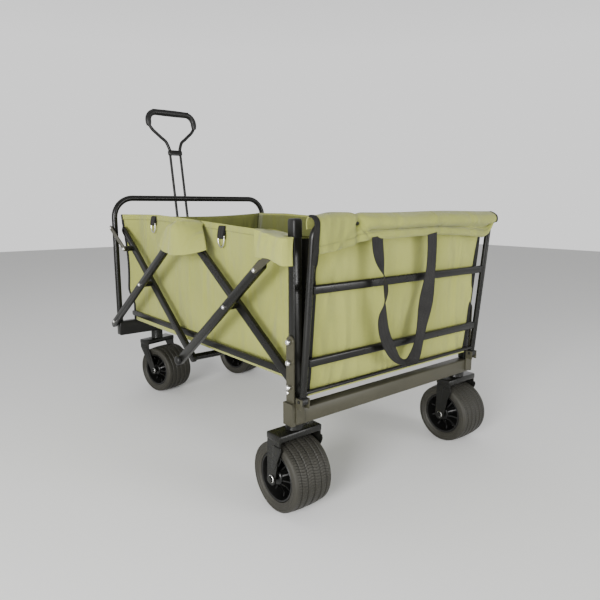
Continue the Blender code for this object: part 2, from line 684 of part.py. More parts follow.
def make_scissors(bodies):
    inner_face = INNER_Y + TUBE_THICK / 2
    outer_face = OUTER_Y - TUBE_THICK / 2
    for side, way in SIDES.items():
        riser = flat_tube(f"rear_riser_{side}", at_rear(RISER_FOOT), at_rear(APEX), way * INNER_Y, FOOT_END,
                          TUBE_END, bodies["rear_risers"])
        pivot_boss(riser, at_rear(CROSSING), way, inner_face - BITE, outer_face - GAP, "crossing_boss")
        pivot_boss(riser, at_rear(APEX), way, inner_face - BITE, outer_face - GAP, "apex_boss")

        strut = flat_tube(f"rear_strut_{side}", at_rear(CENTRE_LOW), at_rear(LINK_PIN), way * OUTER_Y,
                          TUBE_END,
                          STRUT_PAST_LINK, bodies["rear_struts"])
        rivet_head(strut, at_rear(CROSSING), way, OUTER_Y + TUBE_THICK / 2, "crossing_rivet")

        riser = flat_tube(f"front_riser_{side}", at_front(RISER_FOOT), at_front(APEX), way * OUTER_Y,
                          FRONT_FOOT_END, TUBE_END, bodies["front_risers"])
        pivot_boss(riser, at_front(CROSSING), way, inner_face + GAP, outer_face + BITE, "crossing_boss")
        rivet_head(riser, at_front(CROSSING), way, OUTER_Y + TUBE_THICK / 2, "crossing_rivet")
        rivet_head(riser, at_front(RISER_FOOT), way, OUTER_Y + TUBE_THICK / 2, "foot_rivet")

        strut = flat_tube(f"front_strut_{side}", at_front(CENTRE_LOW), at_front(LINK_PIN),
                          way * INNER_Y, TUBE_END,
                          STRUT_PAST_LINK, bodies["front_struts"])
        pivot_boss(strut, at_front(LINK_PIN), way, inner_face - BITE, FRONT_LINK_Y - LINK_THICK / 2 - GAP,
                   "link_boss")
        make_links(side, way, bodies)
        make_rails(side, way, bodies)

    half = INNER_Y - TUBE_THICK / 2 - POST_SIDE_GAP
    centre = at_rear(CENTRE_LOW)
    add("centre_cross_tube", rod("cross_tube", (centre[0], -half, centre[1]), (centre[0], half, centre[1]),
                                 CROSS_TUBE_RADIUS, 20), black_steel(), bodies["rear_struts"])


def make_links(side, way, bodies):
    """The short link from a post's top to its strut."""
    post_pin = (0.0, LINK_POST_Z)
    past = LINK_WIDTH / 2
    for end, place, y in (("rear", at_rear, REAR_LINK_Y), ("front", at_front, FRONT_LINK_Y)):
        outline = stadium(place(post_pin), place(LINK_PIN), LINK_WIDTH, past, past)
        link = add(f"{end}_link_{side}", plate("link", outline, way * y, LINK_THICK), dark_steel(),
                   bodies[f"{end}_links"])
        for name, pin in (("post_rivet", post_pin), ("strut_rivet", LINK_PIN)):
            x, z = place(pin)
            face = y + LINK_THICK / 2
            head = rod("rivet", (x, way * (face - BITE), z), (x, way * (face + LOW_RIVET_HEIGHT), z),
                       RIVET_RADIUS,
                       12, None, RIVET_TOP_RADIUS)
            combine(link, head, "UNION", name)


def make_rails(side, way, bodies):
    """The bottom rail in two halves, which lie side by side where they meet in the middle."""
    for end, place, y in (("rear", at_rear, REAR_RAIL_Y), ("front", at_front, FRONT_RAIL_Y)):
        outline = stadium(place((RAIL_PIVOT_X, RAIL_Z)), place((LENGTH / 2, RAIL_Z)), RAIL_WIDTH,
                          RAIL_END, RAIL_OVERLAP)
        rail = add(f"{end}_rail_{side}", plate("rail", outline, way * y, RAIL_THICK), black_steel(),
                   bodies[f"{end}_rails"])
        bevel(rail, RAIL_ROUND, 2, 50)


# ---------------------------------------------------------------- fabric
def make_basket():
    floor = box("floor_panel", (REAR_X - FLOOR_BACK, -FLOOR_HALF, FLOOR_Z),
                (FRONT_X - FRONT_PANEL_X - FABRIC_THICK / 2 - GAP, FLOOR_HALF, FLOOR_Z + FLOOR_THICK))
    add("floor_panel", floor, canvas(), smooth=False)
    first = REAR_X + PANEL_END_REAR
    last = FRONT_X - PANEL_END_FRONT
    outline = [(first, FLOOR_Z), (last, FLOOR_Z), (last, SIDE_TOP_FRONT), (MID_X + SIDE_RISE, SIDE_TOP_FRONT),
               (MID_X, SIDE_TOP_MIDDLE), (first, SIDE_TOP_REAR)]
    for side, way in SIDES.items():
        add(f"side_panel_{side}", plate("side_panel", outline, way * PANEL_Y, FABRIC_THICK), canvas(),
            smooth=False)
        back = REAR_X - CORNER_POCKET_BACK
        front = back + CORNER_POCKET_LENGTH
        pocket = [(back, CORNER_POCKET_LOW), (front - CORNER_POCKET_SLANT,
                                              CORNER_POCKET_LOW + CORNER_POCKET_RISE),
                  (front, CORNER_POCKET_TOP[1]), (back, CORNER_POCKET_TOP[0])]
        add(f"corner_pocket_{side}", plate("pocket", pocket, way * POCKET_Y, POCKET_THICK), canvas(),
            smooth=False)


def make_apex_pockets(apex):
    """The fan-shaped pocket over the top of each side's scissor, with a curved lower edge."""
    span = APEX_POCKET_HALF
    rise = APEX_POCKET_CORNER - APEX_POCKET_LOW
    radius = (span ** 2 + rise ** 2) / (2 * rise)
    reach = math.degrees(math.asin(span / radius))
    lower = arc((MID_X, APEX_POCKET_LOW + radius), radius, 270 - reach, 270 + reach, 8)
    outline = lower + [(MID_X + APEX_POCKET_TIP, APEX_POCKET_TOP), (MID_X - APEX_POCKET_TIP, APEX_POCKET_TOP)]
    for side, way in SIDES.items():
        add(f"apex_pocket_{side}", plate("pocket", outline, way * POCKET_Y, POCKET_THICK), canvas(), apex,
            smooth=False)


# ---------------------------------------------------------------- tailgate
def make_tailgate(tailgate):
    """Everything on the drop tailgate, drawn upright on its pivot and then leaned back."""
    place = (Matrix.Translation((REAR_X + TAILGATE_PIVOT_X, 0, TAILGATE_PIVOT_Z))
             @ Matrix.Rotation(-TAILGATE_LEAN, 4, "Y"))
    foot_top = TAILGATE_FOOT_RADIUS + GAP
    bend = TAILGATE_BEND
    right = arc((-POST_Y + bend, TAILGATE_HEIGHT - bend), bend, 180, 90, 6)
    left = arc((POST_Y - bend, TAILGATE_HEIGHT - bend), bend, 90, 0, 6)
    line = [(0.0, y, z) for y, z in [(-POST_Y, foot_top)] + right + left + [(POST_Y, foot_top)]]
    frame = add("tailgate_frame", tube("tailgate_frame", line, TAILGATE_TUBE, 3, place), black_steel(),
                tailgate)
    low_tube = rod("low_tube", (0, -POST_Y, LOW_TUBE_HEIGHT), (0, POST_Y, LOW_TUBE_HEIGHT),
                   LOW_TUBE_RADIUS, 14,
                   place)
    combine(frame, low_tube, "UNION", "low_tube")

    reach = POST_Y - TAILGATE_TUBE - GAP
    for label, height in BAR_HEIGHTS.items():
        bar = box("bar", (-BAR_THICK / 2, -reach, height - BAR_WIDTH / 2),
                  (BAR_THICK / 2, reach, height + BAR_WIDTH / 2), place)
        bevel(add(f"tailgate_bar_{label}", bar, black_steel(), tailgate), BAR_ROUND, 3)

    foot_half = HINGE_WIDTH / 2 - HINGE_PLATE - PIVOT_GAP
    pin_half = HINGE_WIDTH / 2 + TAILGATE_PIN_PAST
    for side, way in SIDES.items():
        y = way * POST_Y
        foot = add(f"tailgate_foot_{side}",
                   rod("foot", (0, y - foot_half, 0), (0, y + foot_half, 0), TAILGATE_FOOT_RADIUS, 20, place),
                   black_plastic(), tailgate)
        pin = rod("pin", (0, y - pin_half, 0), (0, y + pin_half, 0), TAILGATE_PIN_RADIUS, 12, place)
        combine(foot, pin, "UNION", "pin")

    inside = TAILGATE_PANEL_SET_IN
    panel = box("panel", (inside - FABRIC_THICK / 2, -TAILGATE_PANEL_HALF, TAILGATE_PANEL_LOW),
                (inside + FABRIC_THICK / 2, TAILGATE_PANEL_HALF, TAILGATE_PANEL_TOP), place)
    add("tailgate_panel", panel, canvas(), tailgate, smooth=False)
    make_flap(tailgate, place)
    make_strap(tailgate, place)


def make_flap(tailgate, place):
    """The fabric folded over the top tube: an upside-down U in section, long on the outside."""
    outer = FLAP_SIDE + FABRIC_THICK
    inner = FLAP_SIDE
    roof = TAILGATE_HEIGHT + TAILGATE_TUBE + FLAP_TOP_GAP
    corner = FLAP_CORNER
    outside = arc((-outer + corner, roof + FABRIC_THICK - corner), corner, 180, 90, 3)
    outside += arc((outer - corner, roof + FABRIC_THICK - corner), corner, 90, 0, 3)
    small = corner - FABRIC_THICK
    inside = arc((inner - small, roof - small), small, 0, 90, 3)
    inside += arc((-inner + small, roof - small), small, 90, 180, 3)
    outline = ([(-outer, FLAP_OUTER_LOW)] + outside + [(outer, FLAP_INNER_LOW), (inner,
               FLAP_INNER_LOW)] + inside
               + [(-inner, FLAP_OUTER_LOW)])
    mesh = plate("flap", outline, 0.0, 2 * FLAP_HALF, place)
    add("tailgate_flap", mesh, canvas(), tailgate, smooth=False)


def make_strap(tailgate, place):
    """The carry strap: a flat band along a hanging line, its face towards the rear."""
    line = [Vector(point) for point in STRAP_LINE]
    first_side, second_side = [], []
    for index, point in enumerate(line):
        ahead = line[min(index + 1, len(line) - 1)] - line[max(index - 1, 0)]
        across = Vector((-ahead.y, ahead.x)).normalized() * STRAP_WIDTH / 2
        first_side.append(point + across)
        second_side.append(point - across)
    outline = [(y, z) for y, z in first_side + second_side[::-1]]
    quarter = Matrix.Rotation(math.pi / 2, 4, "Z")
    mesh = plate("strap", outline, STRAP_SET_OUT, STRAP_THICK, place @ quarter)
    add("carry_strap", mesh, webbing(), tailgate, smooth=False)


# ---------------------------------------------------------------- pull handle
def make_handle(tilt, slide):
    place = (Matrix.Translation((FRONT_X + HANDLE_PIVOT_X, 0, HANDLE_PIVOT_Z))
             @ Matrix.Rotation(HANDLE_LEAN, 4, "Y"))
    bore = ROD_RADIUS + SLEEVE_CLEARANCE
    sleeve = bore + SLEEVE_WALL
    depth = HANDLE_BLOCK_DEPTH / 2
    lower = add("handle_sleeves",
                box("block", (-depth, -HANDLE_BLOCK_HALF, -HANDLE_BLOCK_LOW),
                    (depth, HANDLE_BLOCK_HALF, HANDLE_BLOCK_TOP), place),
                black_steel(), tilt)
    bevel(lower, HANDLE_BLOCK_ROUND)
    pin_half = HANDLE_BLOCK_HALF + HANDLE_CHEEK + HANDLE_PIN_PAST
    combine(lower, rod("pin", (0, -pin_half, 0), (0, pin_half, 0), HANDLE_PIN_RADIUS, 12, place),
            "UNION", "pin")
    clamp = box("clamp", (-CLAMP_HALF, -ROD_Y - CLAMP_HALF, SLEEVE_TOP - CLAMP_HEIGHT),
                (CLAMP_HALF, ROD_Y + CLAMP_HALF, SLEEVE_TOP), place)
    for label, way in SIDES.items():
        outer = rod("sleeve", (0, way * ROD_Y, SLEEVE_LOW), (0, way * ROD_Y,
                                                             SLEEVE_TOP - SLEEVE_IN_CLAMP), sleeve,
                    16, place)
        combine(lower, outer, "UNION", f"sleeve_{label}")
    combine(lower, clamp, "UNION", "clamp")
    for label, way in SIDES.items():
        hollow = rod("bore", (0, way * ROD_Y, SLEEVE_FLOOR), (0, way * ROD_Y, SLEEVE_TOP + CUT_PAST),
                     bore, 16,
                     place)
        combine(lower, hollow, "DIFFERENCE", f"bore_{label}")

    coupler = box("coupler", (-COUPLER_DEPTH / 2, -COUPLER_HALF, COUPLER_LOW),
                  (COUPLER_DEPTH / 2, COUPLER_HALF, COUPLER_LOW + COUPLER_HEIGHT), place)
    rods = add("handle_rods", coupler, black_steel(), slide)
    bevel(rods, FRAME_ROUND)
    for label, way in SIDES.items():
        combine(rods, rod("rod", (0, way * ROD_Y, ROD_LOW), (0, way * ROD_Y,
                                                             COUPLER_LOW + COUPLER_BITE), ROD_RADIUS, 16,
                          place), "UNION", f"rod_{label}")

    neck = NECK_LINE + [(LOOP_HALF - NECK_GAP, GRIP_START - NECK_GAP)]
    loop = [(-y, z) for y, z in neck[::-1]] + neck
    add("handle_loop", tube("loop", [(0, y, z) for y, z in loop], LOOP_RADIUS, 3, place),
        black_plastic(), slide)
    corner = GRIP_CORNER
    middle = LOOP_HALF - corner
    arch = [(-LOOP_HALF, GRIP_START + GAP)]
    arch += arc((-middle, LOOP_TOP - corner), corner, 180, 95, 5)
    arch += [(0.0, LOOP_TOP + GRIP_RISE)]
    arch += arc((middle, LOOP_TOP - corner), corner, 85, 0, 5)
    arch += [(LOOP_HALF, GRIP_START + GAP)]
    add("handle_grip", tube("grip", [(0, y, z) for y, z in arch], GRIP_RADIUS, 3, place),
        black_plastic(), slide)


# ---------------------------------------------------------------- the whole wagon
def joint_bodies():
    """One empty for each moving body, on its joint's axis, hung in the order that the wagon folds."""
    made = {}
    made["rear_risers"] = body("fold_axis", (at_rear(RISER_FOOT)[0], 0, RISER_FOOT.y))
    made["apex"] = body("apex_axis", (MID_X, 0, APEX_Z), made["rear_risers"])
    made["front_risers"] = body("front_riser_axis", (MID_X, 0, APEX_Z), made["apex"])
    made["front_frame"] = body("front_frame_axis", (at_front(RISER_FOOT)[0], 0, RISER_FOOT.y),
                               made["front_risers"])
    made["rear_struts"] = body("rear_strut_axis", (at_rear(CROSSING)[0], 0, CROSSING.y), made["rear_risers"])
    made["front_struts"] = body("front_strut_axis", (at_front(CROSSING)[0], 0, CROSSING.y),
                                made["front_risers"])
    made["rear_links"] = body("rear_link_axis", (REAR_X, 0, LINK_POST_Z))
    made["front_links"] = body("front_link_axis", (FRONT_X, 0, LINK_POST_Z), made["front_frame"])
    made["rear_rails"] = body("rear_rail_axis", (at_rear((RAIL_PIVOT_X, 0))[0], 0, RAIL_Z))
    made["front_rails"] = body("front_rail_axis", (at_front((RAIL_PIVOT_X, 0))[0], 0, RAIL_Z),
                               made["front_frame"])
    made["tailgate"] = body("tailgate_axis", (REAR_X + TAILGATE_PIVOT_X, 0, TAILGATE_PIVOT_Z))
    pivot = (FRONT_X + HANDLE_PIVOT_X, 0, HANDLE_PIVOT_Z)
    made["handle"] = body("handle_axis", pivot, made["front_frame"])
    made["handle_top"] = body("handle_slide_axis", pivot, made["handle"])
    return made


clear_scene()
WAGON = new_collection("folding_wagon")
CUTTERS = new_collection("cutters")
CUTTERS.hide_render = True
BODIES = joint_bodies()
make_rear_frame()
make_front_frame(BODIES["front_frame"])
make_wheels(BODIES["front_frame"])
make_scissors(BODIES)
make_basket()
make_apex_pockets(BODIES["apex"])
make_tailgate(BODIES["tailgate"])
make_handle(BODIES["handle"], BODIES["handle_top"])
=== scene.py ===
"""Folding wagon with a pull handle: steel tube frame, scissor sides, canvas basket and drop tailgate.

Metres, +X from the tailgate towards the pull handle, +Y to the wagon's left, +Z up. Every place comes from the
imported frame: its nodes' boxes and its joints.
"""

import json
import math

import bmesh
import bpy
import numpy as np
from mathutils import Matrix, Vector


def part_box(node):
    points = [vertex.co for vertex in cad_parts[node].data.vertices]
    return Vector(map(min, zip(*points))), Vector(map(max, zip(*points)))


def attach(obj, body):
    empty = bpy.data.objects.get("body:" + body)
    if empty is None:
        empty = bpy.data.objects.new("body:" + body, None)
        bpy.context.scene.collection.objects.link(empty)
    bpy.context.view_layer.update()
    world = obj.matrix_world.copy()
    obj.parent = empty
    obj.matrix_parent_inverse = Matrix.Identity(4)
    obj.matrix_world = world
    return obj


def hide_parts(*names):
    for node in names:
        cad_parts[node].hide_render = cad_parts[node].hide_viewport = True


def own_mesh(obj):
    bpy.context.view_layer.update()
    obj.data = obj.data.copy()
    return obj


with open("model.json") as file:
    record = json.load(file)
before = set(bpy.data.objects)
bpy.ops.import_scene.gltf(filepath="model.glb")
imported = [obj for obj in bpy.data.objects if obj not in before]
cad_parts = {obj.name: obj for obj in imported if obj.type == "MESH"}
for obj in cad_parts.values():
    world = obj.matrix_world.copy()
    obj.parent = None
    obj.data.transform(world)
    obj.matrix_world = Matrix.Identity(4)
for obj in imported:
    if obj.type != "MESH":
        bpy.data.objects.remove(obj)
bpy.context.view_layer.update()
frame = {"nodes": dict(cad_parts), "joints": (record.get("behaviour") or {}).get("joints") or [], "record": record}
PI = math.pi

# ---- places taken from the frame
JOINTS = {joint["name"]: joint for joint in frame["joints"]}
SIDES = {"left": 1.0, "right": -1.0}


def middle(node):
    low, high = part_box(node)
    return (low + high) / 2


def joint_place(name):
    return np.array(JOINTS[name]["pos_m"], float)


REAR_X, _, LINK_POST_Z = joint_place("rear_link_swing").tolist()
FRONT_X = float(joint_place("front_link_swing")[0])
MID_X, _, APEX_Z = joint_place("apex_level").tolist()
FOOT = joint_place("fold")
FRONT_FOOT = joint_place("front_frame_level")
CROSSING = joint_place("rear_strut_cross")
FRONT_CROSSING = joint_place("front_strut_cross")
POST_Y = middle("tailgate_foot_left").y
PANEL_Y = middle("side_panel_left").y
POST_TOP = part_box("rear_post_left")[1].z
POST_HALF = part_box("rear_post_left")[1].x - REAR_X
FLOOR_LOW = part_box("floor_panel")[0].z
FLOOR_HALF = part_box("floor_panel")[1].y
HOOP_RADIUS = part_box("hoop")[1].x - FRONT_X
HOOP_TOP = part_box("hoop")[1].z - HOOP_RADIUS
HOOP_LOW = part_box("hoop")[0].z
INNER_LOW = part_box("rear_riser_left")[0].y
LINK_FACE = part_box("rear_link_left")[1].y
WHEEL_RADIUS = float(joint_place("rear_wheel_left_spin")[2])
WHEEL_HALF = (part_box("rear_tyre_left")[1].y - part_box("rear_tyre_left")[0].y) / 2
RIM_RADIUS = (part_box("rear_rim_left")[1].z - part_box("rear_rim_left")[0].z) / 2

CANVAS_THICK = 0.0014


# ---- shapes: (points, (quads, ends), corner coordinates)
def grid_shape(points, length, close_u=False, close_v=False, caps=False):
    """Quads over a grid of points (u, v, xyz). The corner coordinates run evenly from 0 to length, in metres."""
    points = np.asarray(points, float)
    nu, nv = points.shape[:2]
    iu = np.arange(nu if close_u else nu - 1)
    iv = np.arange(nv if close_v else nv - 1)
    a, b = np.meshgrid(iu, iv, indexing="ij")
    a, b = a.ravel(), b.ravel()
    a2, b2 = (a + 1) % nu, (b + 1) % nv
    faces = np.stack([a * nv + b, a2 * nv + b, a2 * nv + b2, a * nv + b2], 1)
    quads = np.stack([a * nv + b, a2 * nv + b, a2 * nv + b2, a * nv + b2], 1)
    du, dv = length[0] / len(iu), length[1] / len(iv)
    corners = np.stack([np.stack([a * du, b * dv], 1), np.stack([(a + 1) * du, b * dv], 1),
                        np.stack([(a + 1) * du, (b + 1) * dv], 1), np.stack([a * du, (b + 1) * dv], 1)], 1)
    ends, corners = [], corners.reshape(-1, 2)
    if caps:
        first = np.arange(nv)
        ends = [first[::-1], first + (nu - 1) * nv]
        corners = np.vstack([corners, np.zeros((2 * nv, 2))])
    return points.reshape(-1, 3), (quads, ends), corners


def at_side(shape, way):
    """The shape as drawn for the left side, or mirrored when way is -1."""
    return shape[0] * np.array([1.0, way, 1.0]), shape[1], shape[2]


def add_object(name, data):
    obj = bpy.data.objects.new(name, data)
    bpy.context.scene.collection.objects.link(obj)
    return obj


def piece(name, shapes, finish, body, smooth=40.0, replaces=()):
    """One object from a shape or a list of them, with its corner coordinates as its UV map, riding on a body."""
    shapes = shapes if isinstance(shapes, list) else [shapes]
    starts = np.cumsum([0] + [len(s[0]) for s in shapes[:-1]])
    faces = []
    for shape, start in zip(shapes, starts):
        quads, ends = shape[1]
        faces += (quads + start).tolist() + [(end + start).tolist() for end in ends]
    mesh = bpy.data.meshes.new(name)
    mesh.from_pydata(np.vstack([s[0] for s in shapes]).tolist(), [], faces)
    layer = mesh.uv_layers.new(name="cloth")
    layer.data.foreach_set("uv", np.vstack([s[2] for s in shapes]).astype(np.float32).ravel())
    tidy = bmesh.new()
    tidy.from_mesh(mesh)
    bmesh.ops.remove_doubles(tidy, verts=tidy.verts, dist=1e-7)
    bmesh.ops.recalc_face_normals(tidy, faces=tidy.faces)
    tidy.to_mesh(mesh)
    tidy.free()
    mesh.shade_smooth()
    mesh.set_sharp_from_angle(angle=math.radians(smooth))
    mesh.materials.append(finish)
    obj = add_object(name, mesh)
    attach(obj, body)
    if replaces:
        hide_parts(*replaces)
    return obj


def thicken(obj, thickness=CANVAS_THICK):
    wall = obj.modifiers.new("thickness", "SOLIDIFY")
    wall.thickness = thickness
    wall.offset = 0.0
    return obj


def unit(v):
    return v / np.maximum(np.linalg.norm(v, axis=-1, keepdims=True), 1e-12)


def sweep_shape(path, section, up, closed=False, scale=None, twist=None):
    """A closed section of (across, above) points carried along a path; across is the path's direction cross up.
    scale multiplies the section at each path point, and twist turns it, in radians."""
    path, section = np.asarray(path, float), np.asarray(section, float)
    ahead = np.roll(path, -1, 0) - np.roll(path, 1, 0)
    if not closed:
        ahead[0], ahead[-1] = path[1] - path[0], path[-1] - path[-2]
    ahead = unit(ahead)
    across = unit(np.cross(ahead, np.broadcast_to(np.asarray(up, float), ahead.shape)))
    above = np.cross(across, ahead)
    if twist is not None:
        c, s = np.cos(twist)[:, None], np.sin(twist)[:, None]
        across, above = across * c + above * s, above * c - across * s
    size = np.ones(len(path)) if scale is None else np.asarray(scale, float)
    a = section[None, :, 0] * size[:, None]
    b = section[None, :, 1] * size[:, None]
    points = path[:, None] + across[:, None] * a[..., None] + above[:, None] * b[..., None]
    long = float(np.linalg.norm(np.diff(path, axis=0), axis=1).sum())
    round_it = float(np.linalg.norm(section - np.roll(section, 1, 0), axis=1).sum())
    return grid_shape(points, (long, round_it), close_u=closed, close_v=True, caps=not closed)


def circle(radius, sides):
    angles = np.linspace(0, 2 * PI, sides, endpoint=False)
    return np.stack([radius * np.cos(angles), radius * np.sin(angles)], 1)


def flat_section(width, thickness, corner=0.45, sides=24):
    """A superellipse: a flat band or tube with rounded edges."""
    angles = np.linspace(0, 2 * PI, sides, endpoint=False)
    c, s = np.cos(angles), np.sin(angles)
    return np.stack([np.sign(c) * np.abs(c) ** corner * width / 2,
                     np.sign(s) * np.abs(s) ** corner * thickness / 2], 1)


def smooth_path(points, count, closed=False):
    """A Catmull-Rom curve through the points, sampled count times between its ends."""
    p = np.asarray(points, float)
    if closed:
        p = np.vstack([p[-1], p, p[0], p[1]])
    else:
        p = np.vstack([2 * p[0] - p[1], p, 2 * p[-1] - p[-2]])
    spans = len(p) - 3
    t = np.linspace(0, spans, count, endpoint=not closed)
    i = np.minimum(t.astype(int), spans - 1)
    f = (t - i)[:, None]
    a, b, c, d = p[i], p[i + 1], p[i + 2], p[i + 3]
    return 0.5 * (2 * b + (c - a) * f + (2 * a - 5 * b + 4 * c - d) * f ** 2 + (3 * b - a - 3 * c + d) * f ** 3)


def turned_shape(profile, centre, axis, steps=96):
    """A closed (radius, along) profile turned round an axis."""
    profile = np.asarray(profile, float)
    axis = unit(np.asarray(axis, float))
    side = unit(np.cross(axis, [0.0, 0, 1]))
    up = np.cross(side, axis)
    angle = np.linspace(0, 2 * PI, steps, endpoint=False)[:, None]
    radius, along = profile[None, :, 0], profile[None, :, 1]
    spoke = np.cos(angle)[..., None] * side + np.sin(angle)[..., None] * up
    points = np.asarray(centre, float) + spoke * radius[..., None] + axis * along[..., None]
    long = 2 * PI * float(profile[:, 0].max())
    round_it = float(np.linalg.norm(profile - np.roll(profile, 1, 0), axis=1).sum())
    return grid_shape(points, (long, round_it), close_u=True, close_v=True)


def box_shape(low, high, round_by):
    """A box with rounded edges: a rounded rectangle section carried up, drawn in at both ends."""
    low, high = np.asarray(low, float), np.asarray(high, float)
    centre, size = (low + high) / 2, high - low
    corner = min(round_by, size.min() * 0.45)
    angles = np.linspace(0, 2 * PI, 24, endpoint=False) + PI / 24
    c, s = np.cos(angles), np.sin(angles)
    rows = []
    for inset, rise in ((1.0, 0.0), (0.3, 0.3), (0.0, 1.0), (0.0, -1.0), (0.3, -0.3), (1.0, 0.0)):
        z = low[2] + rise * corner if len(rows) < 3 else high[2] + rise * corner
        r = corner * (1 - inset) + 1e-4
        hx, hy = size[0] / 2 - corner, size[1] / 2 - corner
        rows.append(np.stack([centre[0] + np.sign(c) * hx + c * r, centre[1] + np.sign(s) * hy + s * r,
                              np.full(24, z)], 1))
    return grid_shape(np.array(rows), (float(size[2]), float(2 * (size[0] + size[1]))), close_v=True, caps=True)


def at(x, y, z):
    """Points from three coordinates, each a number or an array."""
    return np.stack(np.broadcast_arrays(*[np.asarray(v, float) for v in (x, y, z)]), -1)


def ease(t):
    t = np.clip(t, 0.0, 1.0)
    return t * t * (3 - 2 * t)


def bump(t, place, width):
    return np.exp(-((t - place) / width) ** 2)


# ---- materials
def group(name, results=("Mask",), **floats):
    """A node group that takes a Vector and the floats named, with their defaults, and gives floats."""
    tree = bpy.data.node_groups.new(name, "ShaderNodeTree")
    tree.interface.new_socket(name="Vector", in_out="INPUT", socket_type="NodeSocketVector")
    for label, value in floats.items():
        tree.interface.new_socket(name=label, in_out="INPUT", socket_type="NodeSocketFloat").default_value = value
    for label in results:
        tree.interface.new_socket(name=label, in_out="OUTPUT", socket_type="NodeSocketFloat")
    return tree, tree.nodes.new("NodeGroupInput").outputs, tree.nodes.new("NodeGroupOutput").inputs


def put(tree, kind, settings=None, **inputs):
    """Adds a shader node; inputs are given by name, as values or as sockets to link from."""
    node = tree.nodes.new("ShaderNode" + kind)
    for key, value in (settings or {}).items():
        setattr(node, key, value)
    for key, value in inputs.items():
        name = key.replace("_", " ")
        socket = node.inputs[int(key[1:])] if key[0] == "i" and key[1:].isdigit() else node.inputs[name]
        if isinstance(value, bpy.types.NodeSocket):
            tree.links.new(value, socket)
        else:
            socket.default_value = value
    return node


def math_node(tree, operation, a, b=0.0):
    return put(tree, "Math", {"operation": operation}, i0=a, i1=b).outputs[0]


def times(tree, a, b):
    return math_node(tree, "MULTIPLY", a, b)


def plus(tree, a, b):
    return math_node(tree, "ADD", a, b)


def sine(tree, a):
    return math_node(tree, "SINE", a)


def noise(tree, vector, scale, detail):
    return put(tree, "TexNoise", Vector=vector, Scale=scale, Detail=detail).outputs[0]


def weave_group():
    """Plain weave: two crossed sine bands, over and under, with slubs along the threads. Threads is per metre."""
    tree, given, out = group("weave", ("Height", "Thread"), Threads=900.0, Slub=0.35)
    apart = put(tree, "SeparateXYZ", Vector=given["Vector"]).outputs
    turns = times(tree, given["Threads"], PI)
    warp, weft = [sine(tree, times(tree, apart[axis], turns)) for axis in "XY"]
    slubs = [noise(tree, put(tree, "Mapping", Vector=given["Vector"], Scale=stretch).outputs[0], 1.0, 2.0)
             for stretch in ((30.0, 700.0, 1.0), (700.0, 30.0, 1.0))]
    slub = times(tree, plus(tree, *slubs), given["Slub"])
    tree.links.new(plus(tree, times(tree, warp, weft), slub), out["Height"])
    tree.links.new(slub, out["Thread"])
    return tree


def tone_group():
    """Slow and quick unevenness of a colour, from two noises of different size."""
    tree, given, out = group("tone", Slow=5.0, Quick=60.0)
    slow = times(tree, noise(tree, given["Vector"], given["Slow"], 3.0), 0.7)
    quick = times(tree, noise(tree, given["Vector"], given["Quick"], 4.0), 0.3)
    tree.links.new(plus(tree, slow, quick), out["Mask"])
    return tree


def grain_group():
    """The fine skin of powder coat or moulded plastic: two noises of different size."""
    tree, given, out = group("grain", ("Height",), Fine=900.0, Coarse=160.0)
    fine = noise(tree, given["Vector"], given["Fine"], 3.0)
    coarse = noise(tree, given["Vector"], given["Coarse"], 1.0)
    tree.links.new(plus(tree, fine, coarse), out["Height"])
    return tree


def dust_group():
    """Dust that settles on what faces up, broken up by noise."""
    tree, given, out = group("dust", Amount=0.25)
    facing = put(tree, "SeparateXYZ", Vector=put(tree, "NewGeometry").outputs["Normal"])
    up = math_node(tree, "MAXIMUM", facing.outputs["Z"], 0.0)
    patchy = times(tree, up, noise(tree, given["Vector"], 38.0, 5.0))
    tree.links.new(times(tree, patchy, given["Amount"]), out["Mask"])
    return tree


def scuff_group():
    """Thin worn streaks: a stretched noise cut off near its top."""
    tree, given, out = group("scuff", Level=0.68)
    placed = put(tree, "Mapping", Vector=given["Vector"], Scale=(30.0, 30.0, 140.0)).outputs[0]
    over = math_node(tree, "SUBTRACT", noise(tree, placed, 1.0, 6.0), given["Level"])
    clipped = put(tree, "Math", {"operation": "MULTIPLY", "use_clamp": True}, i0=over, i1=9.0)
    tree.links.new(clipped.outputs[0], out["Mask"])
    return tree


GROUPS = {"weave": weave_group(), "tone": tone_group(), "grain": grain_group(), "dust": dust_group(),
          "scuff": scuff_group()}


def use(tree, name, **inputs):
    return put(tree, "Group", {"node_tree": GROUPS[name]}, **inputs)


def blank_material(name, roughness, metallic=0.0, specular=0.5, sheen=0.0):
    made = bpy.data.materials.new(name)
    made.use_nodes = True
    shader = made.node_tree.nodes["Principled BSDF"]
    for label, value in (("Roughness", roughness), ("Metallic", metallic), ("Specular IOR Level", specular),
                         ("Sheen Weight", sheen), ("Sheen Roughness", 0.5)):
        shader.inputs[label].default_value = value
    return made, made.node_tree, shader


def mix_colours(tree, mask, first, second):
    mixed = put(tree, "Mix", {"data_type": "RGBA"}, i0=mask)
    for socket, value in ((mixed.inputs[6], first), (mixed.inputs[7], second)):
        if isinstance(value, bpy.types.NodeSocket):
            tree.links.new(value, socket)
        else:
            socket.default_value = (*value, 1.0)
    return mixed.outputs[2]


def spread(tree, mask, low, high):
    return put(tree, "MapRange", Value=mask, From_Min=0.3, From_Max=0.7, To_Min=low,
               To_Max=high).outputs[0]


def add_bump(tree, shader, height, distance, under=None):
    bumped = put(tree, "Bump", Height=height, Distance=distance, Strength=1.0)
    if under is not None:
        tree.links.new(under, bumped.inputs["Normal"])
    tree.links.new(bumped.outputs[0], shader.inputs["Normal"])


def object_place(tree):
    return put(tree, "TexCoord").outputs["Object"]


def own_map(tree):
    """The piece's own corner coordinates, in metres."""
    return put(tree, "UVMap", {"uv_map": "cloth"}).outputs[0]


